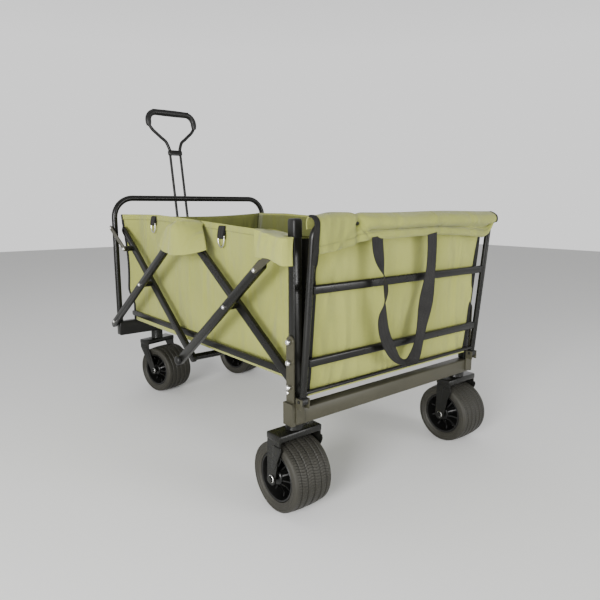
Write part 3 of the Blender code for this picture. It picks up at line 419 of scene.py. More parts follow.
def cloth_material(name, light, dark, threads=1500.0, weave_depth=0.0001):
    """Woven cloth on the piece's own corner coordinates, with soft upright creases."""
    roughness = 0.88
    made, tree, shader = blank_material(name, roughness, specular=0.25, sheen=0.15)
    place = object_place(tree)
    weave = use(tree, "weave", Vector=own_map(tree), Threads=threads).outputs
    tone = use(tree, "tone", Vector=place, Slow=7.0, Quick=240.0).outputs[0]
    base = mix_colours(tree, spread(tree, tone, 0.0, 1.0), light, dark)
    thread = times(tree, weave["Thread"], 0.3)
    tree.links.new(mix_colours(tree, thread, base, tuple(c * 0.62 for c in dark)), shader.inputs["Base Color"])
    tree.links.new(spread(tree, tone, roughness - 0.05, roughness + 0.05), shader.inputs["Roughness"])
    pulled = put(tree, "Mapping", Vector=place, Rotation=(0.25, 0.2, 0.0), Scale=(11.0, 11.0, 3.5))
    folds = put(tree, "TexNoise", Vector=pulled.outputs[0], Scale=1.0, Detail=2.0, Distortion=0.6)
    crease = put(tree, "Bump", Height=folds.outputs[0], Distance=0.022, Strength=1.0)
    add_bump(tree, shader, weave["Height"], weave_depth, under=crease.outputs[0])
    return made


def webbing_material(name, colour, ribs, depth):
    """Ribbed woven tape: ribs run along the tape, with a herringbone of picks across."""
    made, tree, shader = blank_material(name, 0.82, specular=0.15, sheen=0.02)
    apart = put(tree, "SeparateXYZ", Vector=own_map(tree)).outputs
    along = times(tree, apart["X"], ribs * PI)
    across = sine(tree, times(tree, apart["Y"], ribs * 0.8 * PI))
    slant = sine(tree, plus(tree, along, across))
    tone = use(tree, "tone", Vector=object_place(tree), Slow=20.0, Quick=400.0).outputs[0]
    lighter = tuple(c * 1.8 + 0.004 for c in colour)
    tree.links.new(mix_colours(tree, spread(tree, tone, 0.0, 0.8), colour, lighter), shader.inputs["Base Color"])
    add_bump(tree, shader, plus(tree, slant, across), depth)
    return made


def hard_surface(tree, shader, first, second, roughness, noises, swing):
    """The shader's roughness uneven by swing, below and above. Gives the object's place and, uneven in the same
    spots, a colour between the first and the second."""
    place = object_place(tree)
    tone = use(tree, "tone", Vector=place, Slow=noises[0], Quick=noises[1]).outputs[0]
    tree.links.new(spread(tree, tone, roughness - swing[0], roughness + swing[1]), shader.inputs["Roughness"])
    return place, mix_colours(tree, spread(tree, tone, 0.0, 1.0), first, second)


def dusty(tree, place, amount, base, colour):
    return mix_colours(tree, use(tree, "dust", Vector=place, Amount=amount).outputs[0], base, colour)


def paint_material(name, colour, roughness, dust):
    """Powder coat: fine orange peel, a little dust on top, thin scuffs that show brighter steel."""
    made, tree, shader = blank_material(name, roughness, specular=0.26)
    lighter = tuple(c * 1.35 + 0.002 for c in colour)
    place, base = hard_surface(tree, shader, colour, lighter, roughness, (9.0, 120.0), (0.07, 0.09))
    base = dusty(tree, place, dust, base, (0.3, 0.29, 0.25))
    scuff = times(tree, use(tree, "scuff", Vector=place, Level=0.74).outputs[0], 0.06)
    tree.links.new(mix_colours(tree, scuff, base, (0.22, 0.215, 0.2)), shader.inputs["Base Color"])
    add_bump(tree, shader, use(tree, "grain", Vector=place, Fine=700.0, Coarse=200.0).outputs[0], 0.000006)
    return made


def metal_material(name, colour, roughness):
    """Zinc-plated steel with faint clouding and turning marks."""
    made, tree, shader = blank_material(name, roughness, metallic=1.0)
    darker = tuple(c * 0.72 for c in colour)
    place, base = hard_surface(tree, shader, colour, darker, roughness, (60.0, 700.0), (0.06, 0.12))
    tree.links.new(base, shader.inputs["Base Color"])
    add_bump(tree, shader, use(tree, "grain", Vector=place, Fine=2200.0, Coarse=700.0).outputs[0], 0.00004)
    return made


def moulded_material(name, colour, roughness, dust=0.004):
    """Moulded plastic or rubber: a fine skin, dust in patches and uneven gloss."""
    made, tree, shader = blank_material(name, roughness, specular=0.28)
    lighter = tuple(c * 1.5 + 0.002 for c in colour)
    place, base = hard_surface(tree, shader, colour, lighter, roughness, (14.0, 180.0), (0.08, 0.08))
    tree.links.new(dusty(tree, place, dust, base, (0.26, 0.25, 0.22)), shader.inputs["Base Color"])
    add_bump(tree, shader, use(tree, "grain", Vector=place, Fine=1100.0, Coarse=240.0).outputs[0], 0.00012)
    return made


TREAD_FROM, TREAD_TO = 0.044, 0.185     # the tread's share of the way round the tyre's section, in metres
CUT_EVERY, CUT_WAVE = 0.0059, 0.056     # the cuts' spacing round the tyre, and the length of their zigzag


def tyre_material(name, colour, roughness):
    """Rubber with slanted cuts across the tread blocks, over the piece's own corner coordinates."""
    made = moulded_material(name, colour, roughness, dust=0.05)
    tree = made.node_tree
    flat = put(tree, "SeparateXYZ", Vector=own_map(tree)).outputs
    around = times(tree, flat["X"], 2 * PI / CUT_EVERY)
    zigzag = sine(tree, times(tree, flat["Y"], 2 * PI / CUT_WAVE))
    wave = sine(tree, plus(tree, around, times(tree, zigzag, 2.2)))
    cut = put(tree, "MapRange", Value=wave, From_Min=0.55, From_Max=0.95, To_Min=0.0, To_Max=-1.0)
    on_tread = times(tree, math_node(tree, "GREATER_THAN", flat["Y"], TREAD_FROM),
                     math_node(tree, "LESS_THAN", flat["Y"], TREAD_TO))
    grain = use(tree, "grain", Vector=object_place(tree), Fine=520.0, Coarse=150.0).outputs[0]
    height = plus(tree, times(tree, cut.outputs[0], on_tread), times(tree, grain, 0.22))
    add_bump(tree, tree.nodes["Principled BSDF"], height, 0.002)
    return made


CANVAS = cloth_material("sage_canvas", (0.315, 0.33, 0.082), (0.255, 0.27, 0.06))
# the same sage canvas made darker: painted shade for the basket's inside surfaces (side linings, floor, front)
CANVAS_PAINTED_SHADE = cloth_material("sage_canvas_painted_shade", (0.15, 0.16, 0.04), (0.11, 0.12, 0.028))
BINDING = webbing_material("black_binding", (0.008, 0.008, 0.007), 1100.0, 0.00012)
WEBBING = webbing_material("black_webbing", (0.012, 0.0115, 0.011), 700.0, 0.0002)
THREAD = cloth_material("sewing_thread", (0.2, 0.206, 0.06), (0.15, 0.156, 0.042), 4000.0, 0.00004)
# the same sage canvas made darker for the tailgate flap: painted shade
CANVAS_FLAP_PAINTED_SHADE = cloth_material("sage_canvas_flap_painted_shade", (0.258, 0.272, 0.067), (0.208, 0.222, 0.049))
BLACK_PAINT = paint_material("black_powder_coat", (0.0038, 0.0038, 0.003), 0.28, 0.004)
GREY_PAINT = paint_material("dark_grey_powder_coat", (0.034, 0.032, 0.02), 0.42, 0.02)
ZINC = metal_material("zinc_plate", (0.86, 0.85, 0.82), 0.26)
TYRE = tyre_material("tyre_rubber", (0.017, 0.016, 0.012), 0.55)
RIM = moulded_material("rim_plastic", (0.0035, 0.0035, 0.0032), 0.34)
PLASTIC = moulded_material("black_plastic", (0.0055, 0.0055, 0.005), 0.42)

# ---- the frame's own parts get their finish
FINISHES = {"black_steel": BLACK_PAINT, "dark_steel": GREY_PAINT, "tyre": TYRE, "rim": RIM, "black_plastic": PLASTIC,
            "canvas": CANVAS, "webbing": WEBBING, "bright_steel": ZINC}
SLOT_OF = {entry["node"]: entry["material_slot"] for entry in frame["record"]["subparts"]}
for node_name, node in frame["nodes"].items():
    node.data.materials.clear()
    node.data.materials.append(FINISHES[SLOT_OF[node_name]])


def smooth_copy(node, body):
    """A merged copy of a node with smooth shading and its sharp edges bevelled, standing for it."""
    mesh = frame["nodes"][node].data.copy()
    mesh.name = node + "_smooth"
    tidy = bmesh.new()
    tidy.from_mesh(mesh)
    bmesh.ops.remove_doubles(tidy, verts=tidy.verts, dist=2e-6)
    bmesh.ops.dissolve_limit(tidy, angle_limit=math.radians(1.0), verts=tidy.verts, edges=tidy.edges)
    tidy.to_mesh(mesh)
    tidy.free()
    mesh.shade_smooth()
    mesh.set_sharp_from_angle(angle=math.radians(38.0))
    obj = add_object(mesh.name, mesh)
    edge = obj.modifiers.new("edges", "BEVEL")
    edge.width = EDGE_ROUND
    edge.segments = 2
    edge.limit_method = "ANGLE"
    edge.angle_limit = math.radians(40)
    edge.harden_normals = True
    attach(obj, body)
    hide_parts(node)


EDGE_ROUND = 0.001
EDGED = {"root": ["rear_beam"], "front_frame": ["front_beam", "handle_bracket"],
         "rear_struts": ["centre_cross_tube"], "tailgate": ["tailgate_bar_upper", "tailgate_bar_lower"]}
for side in SIDES:
    EDGED["root"] += [f"rear_post_{side}", f"rear_bracket_{side}", f"tailgate_hinge_{side}", f"rear_fork_{side}"]
    EDGED["tailgate"].append(f"tailgate_foot_{side}")
    EDGED[f"caster_{side}"] = [f"caster_fork_{side}"]
    for row in ("rear", "front"):
        for kind in ("riser", "strut", "link", "rail"):
            EDGED.setdefault(f"{row}_{kind}s", []).append(f"{row}_{kind}_{side}")
for body, members in EDGED.items():
    for member in members:
        smooth_copy(member, body)


# ---- the leaning tailgate and handle
def leaning(pivot, lean):
    """Gives the function that places points on something that leans back from its pivot: out is ahead of its
    plane, up runs along it."""
    c, s = math.cos(lean), math.sin(lean)

    def place(out, y, up):
        out, up = np.asarray(out, float), np.asarray(up, float)
        return at(pivot[0] + out * c - up * s, y, pivot[2] + up * c + out * s)

    return place


on_tailgate = leaning(joint_place("tailgate_drop"), math.radians(5.0))
on_handle = leaning(joint_place("handle_tilt"), math.radians(-10.0))

# ---- basket cloth
SIDE_REAR = REAR_X + 0.012
SIDE_FRONT = FRONT_X - 0.0045
TOP_EDGE_X = [-0.5, -0.43, -0.23, 0.01, 0.2, 0.41]
TOP_EDGE_Z = [0.56, 0.5627, 0.5733, 0.586, 0.5941, 0.5932]
SIDE_LOW = 0.2505
SIDE_TALL = 0.34          # a side cloth's height when flat
FLARE, FLARE_DIP = 0.0275, 0.0125
HEM_RISES, SHADE_LINING_RISES = (0.955, 1.003), (0.03, 0.985)


def side_place(x, rise):
    """Where the side cloth is: x along the wagon, rise from 0 at the floor to 1 at the top edge. The front edge
    flares out to the hoop above the rail, less so at half height, and the cloth is a little uneven."""
    top = np.interp(x, TOP_EDGE_X, TOP_EDGE_Z)
    z = SIDE_LOW + (top - SIDE_LOW) * rise
    clear = ease((z - 0.3) / 0.06)
    reach = FLARE - FLARE_DIP * np.clip(4 * rise * (1 - rise), 0, 1) ** 1.5
    flare = ease((x - (FRONT_X - 0.085)) / 0.08) * clear * reach
    slack = 0.0016 * np.sin(9.0 * x + 2.0 * rise) * np.sin(PI * rise)
    pucker = 0.0009 * np.sin(70 * x + 3 * np.sin(12 * x)) * bump(rise, 0.93, 0.1)
    return at(x, PANEL_Y + flare + slack + pucker, z)


def side_layer(name, way, finish, rises, rows, out, thickness=CANVAS_THICK, replaces=()):
    """One layer of a side's cloth between two rises, set out from the side's surface."""
    x, rise = np.meshgrid(np.linspace(SIDE_REAR, SIDE_FRONT, 150), np.linspace(*rises, rows), indexing="ij")
    place = side_place(x, rise)
    place[..., 1] += out
    shape = grid_shape(place, (SIDE_FRONT - SIDE_REAR, SIDE_TALL * (rises[1] - rises[0])))
    return thicken(piece(name, at_side(shape, way), finish, "root", replaces=replaces), thickness)


def fold_with_frame(obj):
    """Gives the object its own copy of its mesh."""
    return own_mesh(obj)


def edge_binding(name, path, body, width, thickness, up, finish=BINDING):
    return piece(name, sweep_shape(path, flat_section(width, thickness, 0.7, 12), up), finish, body)


for side, way in SIDES.items():
    flip = np.array([1.0, way, 1.0])
    cloth = side_layer(f"side_cloth_{side}", way, CANVAS, (0, 1), 50, 0.0, replaces=(f"side_panel_{side}",))
    hem = side_layer(f"side_hem_{side}", way, CANVAS, HEM_RISES, 6, 0.0016)
    # a darker sheet just inside the side cloth: painted shade on the basket's inside
    shade_lining = side_layer(f"side_shade_lining_{side}", way, CANVAS_PAINTED_SHADE, SHADE_LINING_RISES, 50, -0.0022, 0.0008)
    front_line = side_place(SIDE_FRONT, np.linspace(0.0, 1.0, 60)) * flip
    front = edge_binding(f"front_binding_{side}", front_line, "root", 0.016, 0.0046, (0, 1, 0))
    rear_line = at(SIDE_REAR - 0.001, way * (PANEL_Y + 0.013), np.linspace(SIDE_LOW + 0.01, 0.558, 40))
    edge_binding(f"rear_binding_{side}", rear_line, "root", 0.0036, 0.027, (0, 1, 0))
    seam_line = side_place(np.linspace(SIDE_REAR, SIDE_FRONT, 90), 0.957) * flip + np.array([0, way * 0.0028, 0])
    seam = piece(f"hem_seam_{side}", sweep_shape(seam_line, circle(0.00055, 6), (0, 0, 1)), THREAD, "root")
    for obj in (cloth, shade_lining, hem, front, seam):
        fold_with_frame(obj)

# floor of the basket, in padded bays, in the darker canvas of painted shade
FLOOR_FRONT = FRONT_X - 0.022
floor_x, floor_y = np.meshgrid(np.linspace(SIDE_REAR, FLOOR_FRONT, 120), np.linspace(-1, 1, 50), indexing="ij")
bay = np.abs(np.sin((floor_x - SIDE_REAR) / (FLOOR_FRONT - SIDE_REAR) * 4 * PI))
floor_z = FLOOR_LOW + 0.0012 + 0.0022 * bay ** 0.4 * (1 - floor_y ** 6)
floor_shape = grid_shape(at(floor_x, floor_y * (FLOOR_HALF - 0.001), floor_z), (0.89, 0.466))
floor = thicken(piece("floor_cloth", floor_shape, CANVAS_PAINTED_SHADE, "root", replaces=("floor_panel",)))
fold_with_frame(floor)

# front of the basket, in the darker canvas of painted shade; its ends run out to the side shade linings and close
# the corners
FRONT_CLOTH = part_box("front_panel")
fy, fr = np.meshgrid(np.linspace(-1, 1, 60), np.linspace(0, 1, 40), indexing="ij")
front_z = FRONT_CLOTH[0].z + (FRONT_CLOTH[1].z - FRONT_CLOTH[0].z) * fr - 0.01 * (1 - fy ** 2) * fr
front_x = (FRONT_CLOTH[0].x + FRONT_CLOTH[1].x) / 2 + 0.004 * np.sin(PI * fr) * np.cos(fy * 1.5)
front_rise = np.clip((front_z - SIDE_LOW) / (TOP_EDGE_Z[-1] - SIDE_LOW), 0, 1)
front_half = side_place(front_x, front_rise)[..., 1] - 0.0036
front_shape = grid_shape(at(front_x, fy * front_half, front_z), (0.52, 0.33))
front_cloth = thicken(piece("front_cloth", front_shape, CANVAS_PAINTED_SHADE, "front_frame",
                            replaces=("front_panel",)))

# tabs with D rings, sewn below the top edge
TABS = {"front": (0.216, 0.026), "rear": (-0.166, 0.03)}
TAB_WIDE = 0.029
for side, way in SIDES.items():
    for place, (tab_x, tab_long) in TABS.items():
        _, edge_y, edge_z = side_place(tab_x, 1.0)
        line = np.array([[0.0044, -0.003], [0.0054, -tab_long * 0.5], [0.0056, -tab_long],
                         [0.0082, -tab_long - 0.004], [0.0108, -tab_long], [0.0092, -tab_long * 0.6],
                         [0.006, -0.0045]])
        path = smooth_path(at(tab_x, edge_y + line[:, 0], edge_z + line[:, 1]), 60)
        shape = sweep_shape(path, flat_section(TAB_WIDE, 0.0017, 0.35, 16), (0, 1, 0.2))
        tab = piece(f"ring_tab_{place}_{side}", at_side(shape, way), WEBBING, "root")
        angle = np.linspace(0, PI, 22)
        half = TAB_WIDE * 0.46
        ring = np.vstack([np.stack([-half * np.cos(angle), -0.024 * np.sin(angle) ** 0.8 - 0.001], 1),
                          [[half, 0.0015], [-half, 0.0015]]])
        ring_path = at(tab_x + ring[:, 0], edge_y + 0.0085, edge_z - tab_long + ring[:, 1])
        shape = sweep_shape(smooth_path(ring_path, 64, True), circle(0.0018, 12), (0, 1, 0), closed=True)
        wire = piece(f"d_ring_{place}_{side}", at_side(shape, way), ZINC, "root")
        for obj in (tab, wire):
            fold_with_frame(obj)


def fan_pocket():
    """A fan over the apex: from a narrow top it spreads to a low arc, with a ridge down its middle; the rear half
    turns in over the inner tube, and the top folds in over the tube ends."""
    u, v = np.meshgrid(np.linspace(-1, 1, 61), np.linspace(-0.14, 1, 40), indexing="ij")
    run = np.clip(v, 0, 1)
    x = MID_X - 0.004 * run + u * (0.016 + 0.084 * run ** 0.85)
    z = APEX_Z + 0.033 - run * (0.084 - 0.018 * np.abs(u) ** 2.2) - 0.004 * u ** 2 * (1 - run)
    y = LINK_FACE - 0.001 - (0.071 - 0.035 * run) * np.where(u < 0, np.abs(u) ** 1.8, 0)
    y = y - 0.005 * np.where(u > 0, u ** 2, 0) * run + 0.0065 * bump(u, 0.05, 0.3) * run ** 0.5
    y = y + 0.003 * bump(u, 0.62, 0.16) * run - 0.0025 * bump(u, 0.36, 0.12) * run
    fold_in = np.clip(-v / 0.14, 0, 1)
    y = y - 0.012 * bump(run, 0.0, 0.1) * (1 - fold_in)
    y = y + (PANEL_Y + 0.003 - y) * fold_in ** 0.8
    return grid_shape(at(x, y, z), (0.19, 0.1))


def corner_pocket():
    """A pocket round the post's top corner, from the post's outside face forward over the link; its front edge
    turns in at an upright seam, its face is slightly full, and its top runs in to the side cloth."""
    u, v = np.meshgrid(np.linspace(0, 1, 60), np.linspace(0, 1.3, 46), indexing="ij")
    fold_in = np.clip((v - 1) / 0.3, 0, 1)
    v = np.clip(v, 0, 1)
    run = np.clip(u / 0.92, 0, 1)
    x = (REAR_X - 0.0125) + 0.098 * run
    low = LINK_POST_Z - 0.0427 + 0.012 * ease(run / 0.6)
    top = LINK_POST_Z + 0.0085 + 0.016 * run ** 1.2
    z = low + (top - low) * v
    y = POST_Y + 0.015 + 0.0195 * ease(run / 0.1) + 0.0025 * np.sin(PI * v) * np.sin(PI * run)
    y = y - 0.03 * ease((u - 0.9) / 0.1) + 0.0012 * np.sin(24 * run + 4 * v) * v
    inner_y = np.where(x < REAR_X + POST_HALF + 0.004, POST_Y + POST_HALF + 0.003, PANEL_Y + 0.003)
    y = y + (inner_y - y) * fold_in ** 0.9
    z = z + 0.002 * np.sin(PI * fold_in) + (np.interp(x, TOP_EDGE_X, TOP_EDGE_Z) + 0.001 - z) * fold_in
    return grid_shape(at(x, y, z), (0.12, 0.055))


POCKET_THICK = 0.0022
for side, way in SIDES.items():
    fan = thicken(piece(f"fan_pocket_{side}", at_side(fan_pocket(), way), CANVAS, "apex",
                        replaces=(f"apex_pocket_{side}",)), POCKET_THICK)
    corner = thicken(piece(f"post_pocket_{side}", at_side(corner_pocket(), way), CANVAS, "root",
                           replaces=(f"corner_pocket_{side}",)), POCKET_THICK)

# ---- tailgate cloth and strap
GATE_CLOTH_HALF = POST_Y - 0.02
GATE_CLOTH_OUT, GATE_CLOTH_LOW, GATE_CLOTH_TALL = 0.0115, 0.004, 0.33
gy, gr = np.meshgrid(np.linspace(-1, 1, 110), np.linspace(0, 1, 70), indexing="ij")
gate_up = GATE_CLOTH_LOW + GATE_CLOTH_TALL * gr + 0.004 * (gy ** 2) * (1 - gr)
creases = (0.0016 * np.sin(5 * gy + 9 * gr) * np.sin(PI * gr) + 0.0011 * np.sin(31 * gy - 17 * gr) *
           bump(np.abs(gy), 0.9, 0.16))
gate_shape = grid_shape(on_tailgate(GATE_CLOTH_OUT + creases, gy * GATE_CLOTH_HALF, gate_up), (0.53, 0.33))
gate = thicken(piece("tailgate_cloth", gate_shape, CANVAS, "tailgate", replaces=("tailgate_panel",)))
for side, way in SIDES.items():
    rise = np.linspace(0.0, 1.0, 30)
    line = on_tailgate(GATE_CLOTH_OUT, way * GATE_CLOTH_HALF, GATE_CLOTH_LOW + GATE_CLOTH_TALL * rise)
    edge_binding(f"tailgate_binding_{side}", line, "tailgate", 0.014, 0.0042, (1, 0, 0))
edge_binding("tailgate_low_binding", on_tailgate(GATE_CLOTH_OUT, np.linspace(-1, 1, 40) * GATE_CLOTH_HALF, 0.0065),
             "tailgate", 0.01, 0.004, (1, 0, 0), finish=CANVAS)

FLAP_LEFT, FLAP_RIGHT = 0.29, -0.278
FLAP_Y = [-0.278, -0.269, -0.26, -0.24, -0.224, -0.15, -0.07, 0.06, 0.145, 0.157, 0.172, 0.186, 0.23,
          0.29]
FLAP_LOW = [0.34, 0.3235, 0.312, 0.306, 0.3085, 0.315, 0.3188, 0.317, 0.315, 0.314, 0.312, 0.3075, 0.3007,
            0.2925]
PINCH_Y = 0.18           # where the flap is gathered
CROWN = 0.3665            # the flap's highest line, along the tailgate


def flap_lean(y):
    """How far the flap's hanging part is from the tailgate's plane: less at the pinch, uneven right of it."""
    return -0.0165 + 0.0075 * bump(y, PINCH_Y, 0.01) - 0.0012 * np.sin(26 * y) * ease((0.175 - y) / 0.04)


def flap_sections(y):
    """The flap's section at each y, from its inner hem over the top tube to the rolled outer hem. Right of the
    pinch the roll over the tube is full and a groove divides it from the hanging part; left of it the flap hangs
    flat."""
    low = np.interp(y, FLAP_Y, FLAP_LOW)
    right = ease((0.175 - y) / 0.04)
    pinch = bump(y, PINCH_Y, 0.01)
    roll = 0.0008 + 0.0022 * right
    lean = flap_lean(y)
    full = 0.0075 * right - 0.006 * pinch
    top = 0.003 * pinch + 0.001 * np.sin(17 * y) + 0.006 * ease((y - 0.24) / 0.05)
    crown = CROWN - top
    rows = [(0.0128, 0.336), (0.0148, 0.345), (0.0138, 0.355), (0.008, crown - 0.002), (0.0, crown),
            (-0.0085 - full * 0.4, crown - 0.0022), (-0.015 - full, crown - 0.009), (lean - full, 0.345 - top),
            (lean + 0.0065 * right, (low + 0.343) / 2 + 0.004), (lean + 0.0002, low + 0.015),
            (lean - roll, low + 0.0085), (lean - 0.8 * roll, low + 0.0035), (lean + 0.0012, low),
            (lean + 0.0036, low + 0.003)]
    one = np.ones_like(y)
    return np.stack([np.concatenate([a * one, b * one]) for a, b in rows])


FLAP_STEPS, FLAP_ROUND = 220, 80
flap_y = np.linspace(FLAP_RIGHT, FLAP_LEFT, FLAP_STEPS)
section = smooth_path(flap_sections(flap_y), FLAP_ROUND)
flap_out, flap_up = section[:, :FLAP_STEPS].T, section[:, FLAP_STEPS:].T
flap_y2 = np.broadcast_to(flap_y[:, None], flap_out.shape)
hanging = np.linspace(0, 1, FLAP_ROUND)[None, :] ** 2
wrinkle = (0.0009 * np.sin(95 * flap_y2 + 60 * flap_up) + 0.0006 * np.sin(173 * flap_y2 - 90 * flap_up)) * hanging
slant = 0.005 * bump(flap_y2 + 0.9 * (flap_up - 0.34), 0.205, 0.009) * hanging * ease((flap_y2 - 0.17) / 0.02)
slant = slant - 0.005 * bump(flap_y2 - 0.8 * (flap_up - 0.34), 0.17, 0.006) * bump(flap_up, 0.335, 0.016)
flap_shape = grid_shape(on_tailgate(flap_out + wrinkle - slant, flap_y2, flap_up), (0.57, 0.115))
# the flap's cloth is the darker canvas copy, painted shade
flap = piece("tailgate_flap_cloth", flap_shape, CANVAS_FLAP_PAINTED_SHADE, "tailgate", replaces=("tailgate_flap",))
thicken(flap, 0.0018)
flap_end = on_tailgate(section[22:, FLAP_STEPS - 1] - 0.001, FLAP_LEFT + 0.0005, section[22:, -1])
edge_binding("flap_binding_left", flap_end, "tailgate", 0.005, 0.0125, (0, 1, 0))
tail = on_tailgate(-0.016, [FLAP_LEFT, FLAP_LEFT + 0.001, FLAP_LEFT + 0.001], [0.298, 0.288, 0.2745])
edge_binding("flap_binding_tail", tail, "tailgate", 0.004, 0.01, (0, 1, 0))
flap_end = on_tailgate(section[26:, 0], FLAP_RIGHT - 0.0008, section[26:, FLAP_STEPS])
edge_binding("flap_binding_right", flap_end, "tailgate", 0.004, 0.006, (0, 1, 0))
seam_line = on_tailgate(flap_lean(flap_y) - 0.0017, flap_y, np.interp(flap_y, FLAP_Y, FLAP_LOW) + 0.0145)
piece("flap_seam", sweep_shape(seam_line, circle(0.0005, 6), (0, 0, 1)), THREAD, "tailgate")

# the carry strap hangs from the flap in a loop, turned edge on at its two bends
STRAP = [(0.133, 0.322), (0.13, 0.3), (0.124, 0.268), (0.114, 0.232), (0.107, 0.19), (0.101, 0.15),
         (0.088, 0.11), (0.066, 0.074), (0.04, 0.05), (0.012, 0.04), (-0.01, 0.043), (-0.024, 0.06),
         (-0.034, 0.092), (-0.041, 0.14), (-0.046, 0.19), (-0.049, 0.24), (-0.046, 0.285), (-0.04, 0.322)]
strap_line = smooth_path(STRAP, 200)
strap_t = np.linspace(0, 1, 200)
turned = 1.2 * bump(strap_t, 0.195, 0.06) + 1.15 * bump(strap_t, 0.53, 0.08) + 0.6 * bump(strap_t, 0.8, 0.05)
strap_out = -0.015 - 0.015 * bump(strap_t, 0.19, 0.08) - 0.012 * bump(strap_t, 0.5, 0.16) - 0.004
strap_path = on_tailgate(strap_out, strap_line[:, 0], strap_line[:, 1])
strap_narrow = 0.84 - 0.3 * bump(strap_t, 0.195, 0.07) - 0.3 * bump(strap_t, 0.53, 0.07)
strap_band = flat_section(0.038, 0.002, 0.35, 20)
strap_shape = sweep_shape(strap_path, strap_band, (1, 0, 0), scale=strap_narrow, twist=turned)
strap = piece("carry_strap_webbing", strap_shape, WEBBING, "tailgate", replaces=("carry_strap",))

# ---- round steel
def arch(half, low, high, bend):
    """Half widths and heights of an arch with round corners, from the left foot over the top to the right foot."""
    angle = np.linspace(0, PI / 2, 14)
    left = np.stack([half - bend + bend * np.cos(angle), high - bend + bend * np.sin(angle)], 1)
    right = left[::-1] * np.array([-1.0, 1.0])
    return np.vstack([[[half, low]], left, right, [[-half, low]]])


HOOP_BEND, GATE_BEND, GRIP_BEND = 0.062, 0.03, 0.03
hoop_line = arch(POST_Y, HOOP_LOW, HOOP_TOP, HOOP_BEND)
hoop_path = at(FRONT_X, hoop_line[:, 0], hoop_line[:, 1])
piece("hoop_tube", sweep_shape(hoop_path, circle(HOOP_RADIUS, 28), (1, 0, 0)), BLACK_PAINT, "front_frame",
      replaces=("hoop",))
gate_line = arch(POST_Y, 0.0093, 0.348, GATE_BEND)
gate_foot = on_tailgate(0.0, [-POST_Y, POST_Y], 0.016)
gate_tubes = [sweep_shape(on_tailgate(0.0, gate_line[:, 0], gate_line[:, 1]), circle(0.007, 24), (1, 0, 0)),
              sweep_shape(gate_foot, circle(0.0045, 16), (1, 0, 0))]
piece("tailgate_tube", gate_tubes, BLACK_PAINT, "tailgate", replaces=("tailgate_frame",))

LINK_PIN_REAR, LINK_PIN_FRONT, LINK_PIN_Z = -0.4055, 0.3055, 0.492
STRUT_INNER_Y = INNER_LOW + 0.0055
STRUT_RISE = (LINK_PIN_Z - FRONT_CROSSING[2]) / (LINK_PIN_FRONT - FRONT_CROSSING[0])
tip_x = np.array([0.3, 0.31, 0.37, 0.379, 0.383])
for side, way in SIDES.items():
    tip = at(tip_x, way * STRUT_INNER_Y, LINK_PIN_Z + (tip_x - LINK_PIN_FRONT) * STRUT_RISE)
    shape = sweep_shape(tip, flat_section(0.0108, 0.0216), (0, 0, 1), scale=[1, 1, 1, 0.96, 0.8])
    piece(f"front_strut_tip_{side}", shape, BLACK_PAINT, "front_struts")

# ---- pull handle
ROD_Y, ROD_RADIUS = 0.02, 0.0046
GRIP_HALF, GRIP_RADIUS = 0.088, 0.0108
rods = [sweep_shape(on_handle(0.0, way * ROD_Y, [0.31, 0.594]), circle(ROD_RADIUS, 20), (0, 1, 0))
        for way in SIDES.values()]
coupler = sweep_shape(on_handle(0.0, 0.0, [0.5885, 0.591, 0.602, 0.6045]),
                      flat_section(0.052, 0.015, 0.3), (1, 0, 0), scale=[0.94, 1, 1, 0.94])
piece("handle_rods_steel", rods + [coupler], BLACK_PAINT, "handle_top",
      replaces=("handle_rods",))
neck = np.array([(0.02, 0.602), (0.0205, 0.6098), (0.03, 0.634), (0.046, 0.648), (0.062, 0.662), (0.075, 0.6735),
                 (0.084, 0.686), (0.0872, 0.694)])
necks = [sweep_shape(on_handle(0.0, way * line[:, 0], line[:, 1]), circle(0.0055, 18), (1, 0, 0))
         for way in SIDES.values() for line in [smooth_path(neck, 30)]]
piece("handle_neck", necks, PLASTIC, "handle_top", replaces=("handle_loop",))
grip_line = arch(GRIP_HALF, 0.6885, 0.7365, GRIP_BEND)
grip_line[:, 1] += 0.002 * (1 - (grip_line[:, 0] / GRIP_HALF) ** 2)
long_grip = smooth_path(grip_line, 90)
swell = 1 + 0.05 * np.cos(long_grip[:, 0] / GRIP_HALF * PI)
swell = swell - 0.13 * bump(np.abs(long_grip[:, 0]), 0.046, 0.0022)
swell[:3] *= [0.72, 0.9, 0.98]
swell[-3:] *= [0.98, 0.9, 0.72]
grip = sweep_shape(on_handle(0.0, long_grip[:, 0], long_grip[:, 1]), circle(GRIP_RADIUS, 28), (1, 0, 0), scale=swell)
piece("handle_grip_moulded", grip, PLASTIC, "handle_top", replaces=("handle_grip",))

# ---- wheels
def tyre_profile():
    """(radius, along) round the tyre: a slightly crowned tread with five grooves, round shoulders, ringed
    sidewalls and a flat seat on the rim."""
    across = np.linspace(-1, 1, 75)
    tread_half = WHEEL_HALF - 0.0065
    radius = WHEEL_RADIUS - 0.0022 * np.abs(across) ** 2.4
    for groove in (-0.78, -0.42, 0.0, 0.42, 0.78):
        radius = radius - 0.0024 * np.exp(-((across - groove) / 0.045) ** 4)
    tread = np.stack([radius, across * tread_half], 1)
    angle = np.linspace(0.15, PI / 2, 7)
    shoulder = np.stack([radius[-1] - 0.0065 + 0.0065 * np.cos(angle), tread_half + 0.0065 * np.sin(angle)], 1)
    down = np.linspace(0.03, 1, 14)
    ring = 0.0011 * np.exp(-((down - 0.3) / 0.07) ** 2) + 0.0009 * np.exp(-((down - 0.72) / 0.06) ** 2)
    foot = radius[-1] - 0.0065
    wall = np.stack([foot - (foot - RIM_RADIUS - 0.0006) * down, WHEEL_HALF - 0.0008 - 0.004 * down ** 2 + ring], 1)
    right = np.vstack([shoulder, wall, [[RIM_RADIUS + 0.0003, WHEEL_HALF - 0.008]]])
    left = right[::-1] * np.array([1.0, -1.0])
    return np.vstack([left, tread, right])


